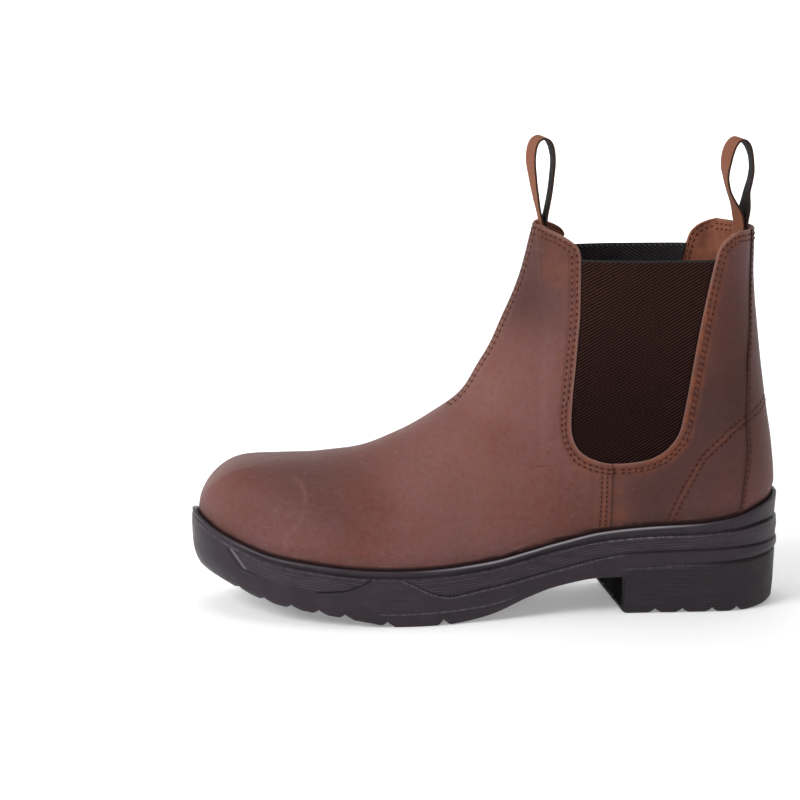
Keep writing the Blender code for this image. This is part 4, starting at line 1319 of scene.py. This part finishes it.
def makeSoleMesh():
    look = soleLook
    bottom, q = soleStations()
    count = len(bottom)
    around = 2 * count - 2
    way = np.linspace(0, 1, look["rows"])
    stations, ys, heights = [], [], []

    def addRow(inset, tuckShare, height):
        station, lateral, medial = soleSides(q, inset, tuckShare, height if tuckShare else None)
        high = height(station)
        for store, values in ((stations, (station, station)), (ys, (lateral, medial)),
                              (heights, np.broadcast_arrays(high[0], high[1]))):
            store.append(np.concatenate([values[0], values[1][-2:0:-1]]))

    def same(values):
        return values, values

    station, lateral, medial = soleSides(q, 0.0, 1.0)
    floor = [groundHeight(station, side, np.full(station.shape, share))
             for side, share in ((lateral, 0.0), (medial, 1.0))]
    addRow(last["rimWidth"], 0.0, lambda s: same(read("soleSide", "bed", s)))
    for inset, drop in look["lipTop"]:
        addRow(inset, 0.0, lambda s, d=drop: same(read("soleSide", "rim", s) - d))
    for v in way:
        share = float(soleCurve("tuck", v))
        addRow(0.0, share, lambda s, v=v: [wallHeight(s, v, f) for f in floor])
    station, y, height = (np.array(rows) for rows in (stations, ys, heights))
    lipRows = 1 + len(look["lipTop"])
    relief, panel, band, furrow, crest = (np.concatenate([np.zeros((lipRows, around)), part])
                                          for part in wallRelief(station[lipRows:], height[lipRows:]))
    furrow[:3] = 1.0                 # painted shade in the gap along the upper
    lipStation = station[4:lipRows]
    rear, rearFull, foreFull, fore = look["lipShine"]
    shine = 0.06 + 0.8 * ease(fore, foreFull, lipStation) * ease(rear, rearFull, lipStation)
    # painted highlight along the lip's top edge
    crest[4:lipRows] = np.array([0.0, 0.3, 1.0, 0.2])[:lipRows - 4, None] * shine
    forward = ease(last["heelBreast"] - 12.0, last["heelBreast"], station)
    forward = forward * (station < last["heelBreast"] + 0.1)
    station = station + look["breastLean"] * forward * (1 - ease(1.0, 19.0, height))
    towardBack = np.roll(station, -1, 1) - np.roll(station, 1, 1)
    towardMiddle = np.roll(y, -1, 1) - np.roll(y, 1, 1)
    length = np.hypot(towardBack, towardMiddle)
    station = station - relief * towardMiddle / length
    y = y + relief * towardBack / length
    wall = place(station, y, height)
    faces = quadGrid(*station.shape, wrap=True).tolist()
    rim = read("soleSide", "rim", station)
    heelWall = (station < last["heelBreast"]) & (height < soleCurve("heelTop", station) - 0.6)
    # the heel block darker all over
    furrow = np.maximum(furrow, 0.42 * heelWall)
    onPanel = ease(0.3, 1.0, panel)
    hatch = ease(0.0, 1.2, depthIn(look["hatch"], station, height))
    rearLine, foreLine = look["waveLines"]
    tickBand = hill(height - soleCurve("tickLine", station) + 0.9, 0.7)
    tickBand = tickBand * ((station > rearLine) & (station < foreLine))
    corner = 0.8 * hill(last["heelBreast"] - bottom, 1.1) * (bottom < last["heelBreast"] + 0.1)
    corner = np.append(corner, corner[-2:0:-1]) * (1 - ease(16.5, 18.5, height))    # painted shade, at the breast
    lined = np.maximum(np.maximum(band, 0.8 * onPanel), heelWall * (0.2 + 0.5 * ease(10.0, 50.0, station)))
    marks = {
        "tick": tickBand,
        "furrow": np.maximum(furrow, corner),
        "crest": crest,
        "stripe": np.where(heelWall, height, rim - height),
        "striation": lined * (np.arange(len(station)) > lipRows)[:, None],
        "hatch": hatch,
        "tread": np.zeros(station.shape),
    }

    # underside: rows from toe to heel, each from the lateral edge to the medial one
    bottomRow = (len(station) - 1) * around
    share = np.linspace(0, 1, look["strips"] + 2)[1:-1][None, :]
    lateral, medial = y[-1, :count], np.append(y[-1, 0], y[-1, :count - 1:-1])
    medial = np.append(medial, y[-1, count - 1])
    lat, med = lateral[1:-1, None], medial[1:-1, None]
    underY = lat + (med - lat) * share
    underS = (station[-1, 1:count - 1] + station[-1, :count - 1:-1]) / 2
    underS = np.broadcast_to(underS[:, None], underY.shape)
    flatS = np.broadcast_to(bottom[1:-1, None], underY.shape)
    underZ = groundHeight(flatS, underY, np.broadcast_to(share, underY.shape))
    under = place(underS, underY, underZ)
    first = station.size
    inner = np.arange(under[..., 0].size).reshape(under.shape[:2]) + first
    left = bottomRow + np.arange(1, count - 1)[:, None]
    right = bottomRow + (around - np.arange(1, count - 1))[:, None]
    net = np.concatenate([left, inner, right], axis=1)
    step = int(np.argmax(bottom < last["heelBreast"] + look["breastStep"] / 2))
    firstDull = len(faces) + (step - 2) * (look["strips"] + 1)
    dull = range(firstDull, firstDull + look["strips"] + 1)      # the breast's own faces, which take the painted shade
    for a, b in zip(net[:-1], net[1:]):
        faces.extend(np.stack([a[:-1], a[1:], b[1:], b[:-1]], 1).tolist())
    tip, end = bottomRow, bottomRow + count - 1
    faces.extend([tip, b, a] for a, b in zip(net[0][:-1], net[0][1:]))
    faces.extend([end, a, b] for a, b in zip(net[-1][:-1], net[-1][1:]))

    # bed of the cup
    j = np.arange(1, count - 1)
    faces.extend(np.stack([j[:-1], j[1:], around - j[1:], around - j[:-1]], 1).tolist())
    faces.append([0, 1, around - 1])
    faces.append([count - 1, around - (count - 2), count - 2])

    tread = ((flatS < last["heelBreast"]) | (flatS > look["waistEnd"])) * 1.0
    extra = {key: np.zeros(underY.shape) for key in marks}
    extra.update(stripe=underZ, tread=tread)
    marks = {key: np.concatenate([marks[key].ravel(), extra[key].ravel()]) for key in marks}
    return np.concatenate([wall.reshape(-1, 3), under.reshape(-1, 3)]), faces, marks, dull


rubberLook = {
    "dark": "#1F151D",
    "light": "#2A1E28",
    # paler lines: grey dust in the moulded lines and painted highlight along their ridges
    "line": "#5A4C57",
    # pale grey of the painted highlights on the crests
    "paintedHighlight": "#A4A1A7",
    # near black of the painted shade in furrows and gaps, and of the darker heel block
    "furrow": "#060506",
    "cloudSize": 9.0,        # mm
    "waverSize": 22.0,
    "stripePitch": 1.3,
    "hatchPitch": 1.5,
    "beatPitch": 1.7,
    "streakSize": 1.6,
    "streakLength": 14.0,
    "dimpleSize": 2.4,
    "fineSize": 0.8,
}


def makeRubber():
    # carbon-black rubber, moulded in a polished tool: satin, with fine lines cut in the mould
    look = rubberLook
    material, tree, shader = newMaterial("black_rubber_moulded", Roughness=0.45, IOR=1.52,
                                         Specular_IOR_Level=0.3)
    where = addNode(tree, "ShaderNodeTexCoord").outputs["Object"]
    split = addNode(tree, "ShaderNodeSeparateXYZ", {"Vector": where})
    long = addNode(tree, "ShaderNodeVectorMath",
                   {0: where, 1: (look["streakSize"] / look["streakLength"], 0.3, 1.0)},
                   operation="MULTIPLY").outputs["Vector"]
    marks = {key: addNode(tree, "ShaderNodeAttribute", attribute_name=key).outputs["Fac"]
             for key in ("stripe", "striation", "hatch", "tread", "tick", "furrow", "crest")}
    noises = {}
    for key, vector, detail in (("cloud", where, 4.0), ("waver", where, 2.0), ("streak", long, 2.0),
                                ("fine", where, 2.0)):
        noises[key] = addNode(tree, "ShaderNodeTexNoise", {
            "Vector": vector, "Scale": 1 / (look[key + "Size"] * mm), "Detail": detail}).outputs["Fac"]

    # lines cut in the mould: level ones on the bands, crossed ones behind the arc, short ones under the wave
    phase = addNode(tree, "ShaderNodeMath", {0: marks["stripe"], 1: 2 * math.pi / look["stripePitch"]},
                    operation="MULTIPLY").outputs["Value"]
    phase = addNode(tree, "ShaderNodeMath", {0: noises["waver"], 1: 5.0, 2: phase},
                    operation="MULTIPLY_ADD").outputs["Value"]
    stripes = addNode(tree, "ShaderNodeMath", {0: phase}, operation="SINE").outputs["Value"]
    waves = []
    for slope, pitch in (("ADD", "hatchPitch"), ("SUBTRACT", "hatchPitch"), (None, "beatPitch")):
        way = split.outputs["X"]
        if slope:
            way = addNode(tree, "ShaderNodeMath", {0: way, 1: split.outputs["Z"]},
                          operation=slope).outputs["Value"]
        turned = addNode(tree, "ShaderNodeMath", {0: way, 1: 2 * math.pi / (look[pitch] * mm)},
                         operation="MULTIPLY").outputs["Value"]
        waves.append(addNode(tree, "ShaderNodeMath", {0: turned}, operation="SINE").outputs["Value"])
    crossed = addNode(tree, "ShaderNodeMath", {0: waves[0], 1: waves[1]},
                      operation="MULTIPLY").outputs["Value"]
    lines = addNode(tree, "ShaderNodeMath", {0: stripes, 1: marks["striation"]},
                    operation="MULTIPLY").outputs["Value"]
    for wave, mark in ((crossed, "hatch"), (waves[2], "tick")):
        lines = addNode(tree, "ShaderNodeMath", {0: wave, 1: marks[mark], 2: lines},
                        operation="MULTIPLY_ADD").outputs["Value"]

    share = addNode(tree, "ShaderNodeMapRange", {"Value": noises["cloud"], "From Min": 0.35, "From Max": 0.7})
    limit = addNode(tree, "ShaderNodeMapRange", {"Value": noises["streak"], "From Min": 0.35,
                                                 "From Max": 0.65, "To Min": 0.06, "To Max": 0.46})
    lit = addNode(tree, "ShaderNodeMapRange", {"Value": lines, "To Max": limit.outputs["Result"]})
    colour = hexColour(look["dark"])
    # cloudy rubber, the paler lines, painted highlight on the crests and painted shade in the furrows
    for factor, tint in ((share.outputs["Result"], "light"), (lit.outputs["Result"], "line"),
                         (marks["crest"], "paintedHighlight"), (marks["furrow"], "furrow")):
        colour = addNode(tree, "ShaderNodeMix", {"Factor": factor, "A": colour, "B": hexColour(look[tint])},
                         data_type="RGBA").outputs["Result"]
    tree.links.new(colour, shader.inputs["Base Color"])
    rough = addNode(tree, "ShaderNodeMapRange", {"Value": noises["cloud"], "From Min": 0.3, "From Max": 0.7,
                                                 "To Min": 0.38, "To Max": 0.54})
    matte = addNode(tree, "ShaderNodeMath", {0: marks["tread"], 1: marks["furrow"]}, operation="MAXIMUM")
    rougher = addNode(tree, "ShaderNodeMath", {0: matte.outputs["Value"], 1: 0.4, 2: rough.outputs["Result"]},
                      operation="MULTIPLY_ADD")
    tree.links.new(rougher.outputs["Value"], shader.inputs["Roughness"])

    dimple = addNode(tree, "ShaderNodeTexVoronoi", {"Vector": where, "Scale": 1 / (look["dimpleSize"] * mm)},
                     feature="F1").outputs["Distance"]
    height = lines
    for relief, factor in ((dimple, marks["tread"]), (noises["fine"], 0.5)):
        height = addNode(tree, "ShaderNodeMath", {0: relief, 1: factor, 2: height},
                         operation="MULTIPLY_ADD").outputs["Value"]
    bump = addNode(tree, "ShaderNodeBump", {"Height": height, "Strength": 0.5, "Distance": 0.15 * mm})
    tree.links.new(bump.outputs["Normal"], shader.inputs["Normal"])
    return material


solePoints, soleFaces, soleMarks, breastFaces = makeSoleMesh()
# near black and without gloss: painted shade on the heel's breast
breastShadeRubber = plainNoise("black_rubber_painted_shade", ("#040304", "#080608"), 6.0, 0.95, 0.8, 0.3, 0.03)
makePiece("sole_unit", solePoints, soleFaces, [makeRubber(), breastShadeRubber], ["sole_unit"],
          soleMarks, 0.6, breastFaces)
print("sole made:", len(soleFaces), "faces")

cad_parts["insole"].material_slots[0].material = plainNoise(
    "sheepskin_sock_skived", ("#9A7458", "#866147"), 12.0, 0.8, 0.8, 0.25)
print("insole finished")


# White paper cove all round, faintly luminous like a lit sweep, and soft studio light
studio = {
    "floor": "#F6F6F6",
    "floorDrop": 0.0002,     # m, so that the tread and the paper aren't in one plane
    "glow": 0.24,
    "flat": 3.0,
    "bend": 1.0,
    "wall": 2.4,
    "worldStrength": 0.12,
    "lamps": {
        "key": {"at": (1.5, 1.0, 1.25), "toward": (0, 0, 0.1), "size": 0.9, "power": 32.0},
        "fill": {"at": (-1.2, 1.6, 0.6), "toward": (0, 0, 0.1), "size": 1.2, "power": 1.5},
        "top": {"at": (0.1, -0.2, 1.8), "toward": (0, 0, 0.1), "size": 1.3, "power": 10.0},
        "sweep": {"at": (0, -1.7, 1.9), "toward": (0, -3.6, 0.0), "size": 2.4, "power": 60.0},
    },
}


def makeStudio():
    scene = bpy.context.scene
    scene.view_settings.view_transform = "Standard"
    world = bpy.data.worlds.new("soft_white_room")
    world.use_nodes = True
    world.node_tree.nodes["Background"].inputs["Color"].default_value = (1, 1, 1, 1)
    world.node_tree.nodes["Background"].inputs["Strength"].default_value = studio["worldStrength"]
    scene.world = world
    turn = np.linspace(0, np.pi / 2, 14)
    run = np.concatenate([[0.02, 1.0], studio["flat"] + studio["bend"] * np.sin(turn),
                          [studio["flat"] + studio["bend"]]])
    rise = np.concatenate([[0.0, 0.0], studio["bend"] * (1 - np.cos(turn)), [studio["wall"]]])
    around = np.linspace(0, 2 * np.pi, 96, endpoint=False)
    points = np.stack([np.outer(run, np.cos(around)), np.outer(run, np.sin(around)),
                       np.repeat(rise[:, None] - studio["floorDrop"], len(around), axis=1)], -1)
    faces = quadGrid(len(run), len(around), wrap=True).tolist() + [list(range(len(around)))]
    mesh = bpy.data.meshes.new("floor")
    mesh.from_pydata(points.reshape(-1, 3).tolist(), [], faces)
    mesh.shade_smooth()
    material, _, shader = newMaterial("paper_sweep_matte", Roughness=0.95, Emission_Strength=studio["glow"])
    shader.inputs["Base Color"].default_value = hexColour(studio["floor"])
    shader.inputs["Emission Color"].default_value = (1, 1, 1, 1)
    mesh.materials.append(material)
    floor = bpy.data.objects.new("floor", mesh)
    scene.collection.objects.link(floor)
    for name, lamp in studio["lamps"].items():
        light = bpy.data.lights.new(name, "AREA")
        light.size = lamp["size"]
        light.energy = lamp["power"]
        obj = bpy.data.objects.new(name, light)
        obj.location = lamp["at"]
        aim = Vector(lamp["toward"]) - Vector(lamp["at"])
        obj.rotation_euler = aim.to_track_quat("-Z", "Y").to_euler()
        scene.collection.objects.link(obj)


makeStudio()
print("studio lit")
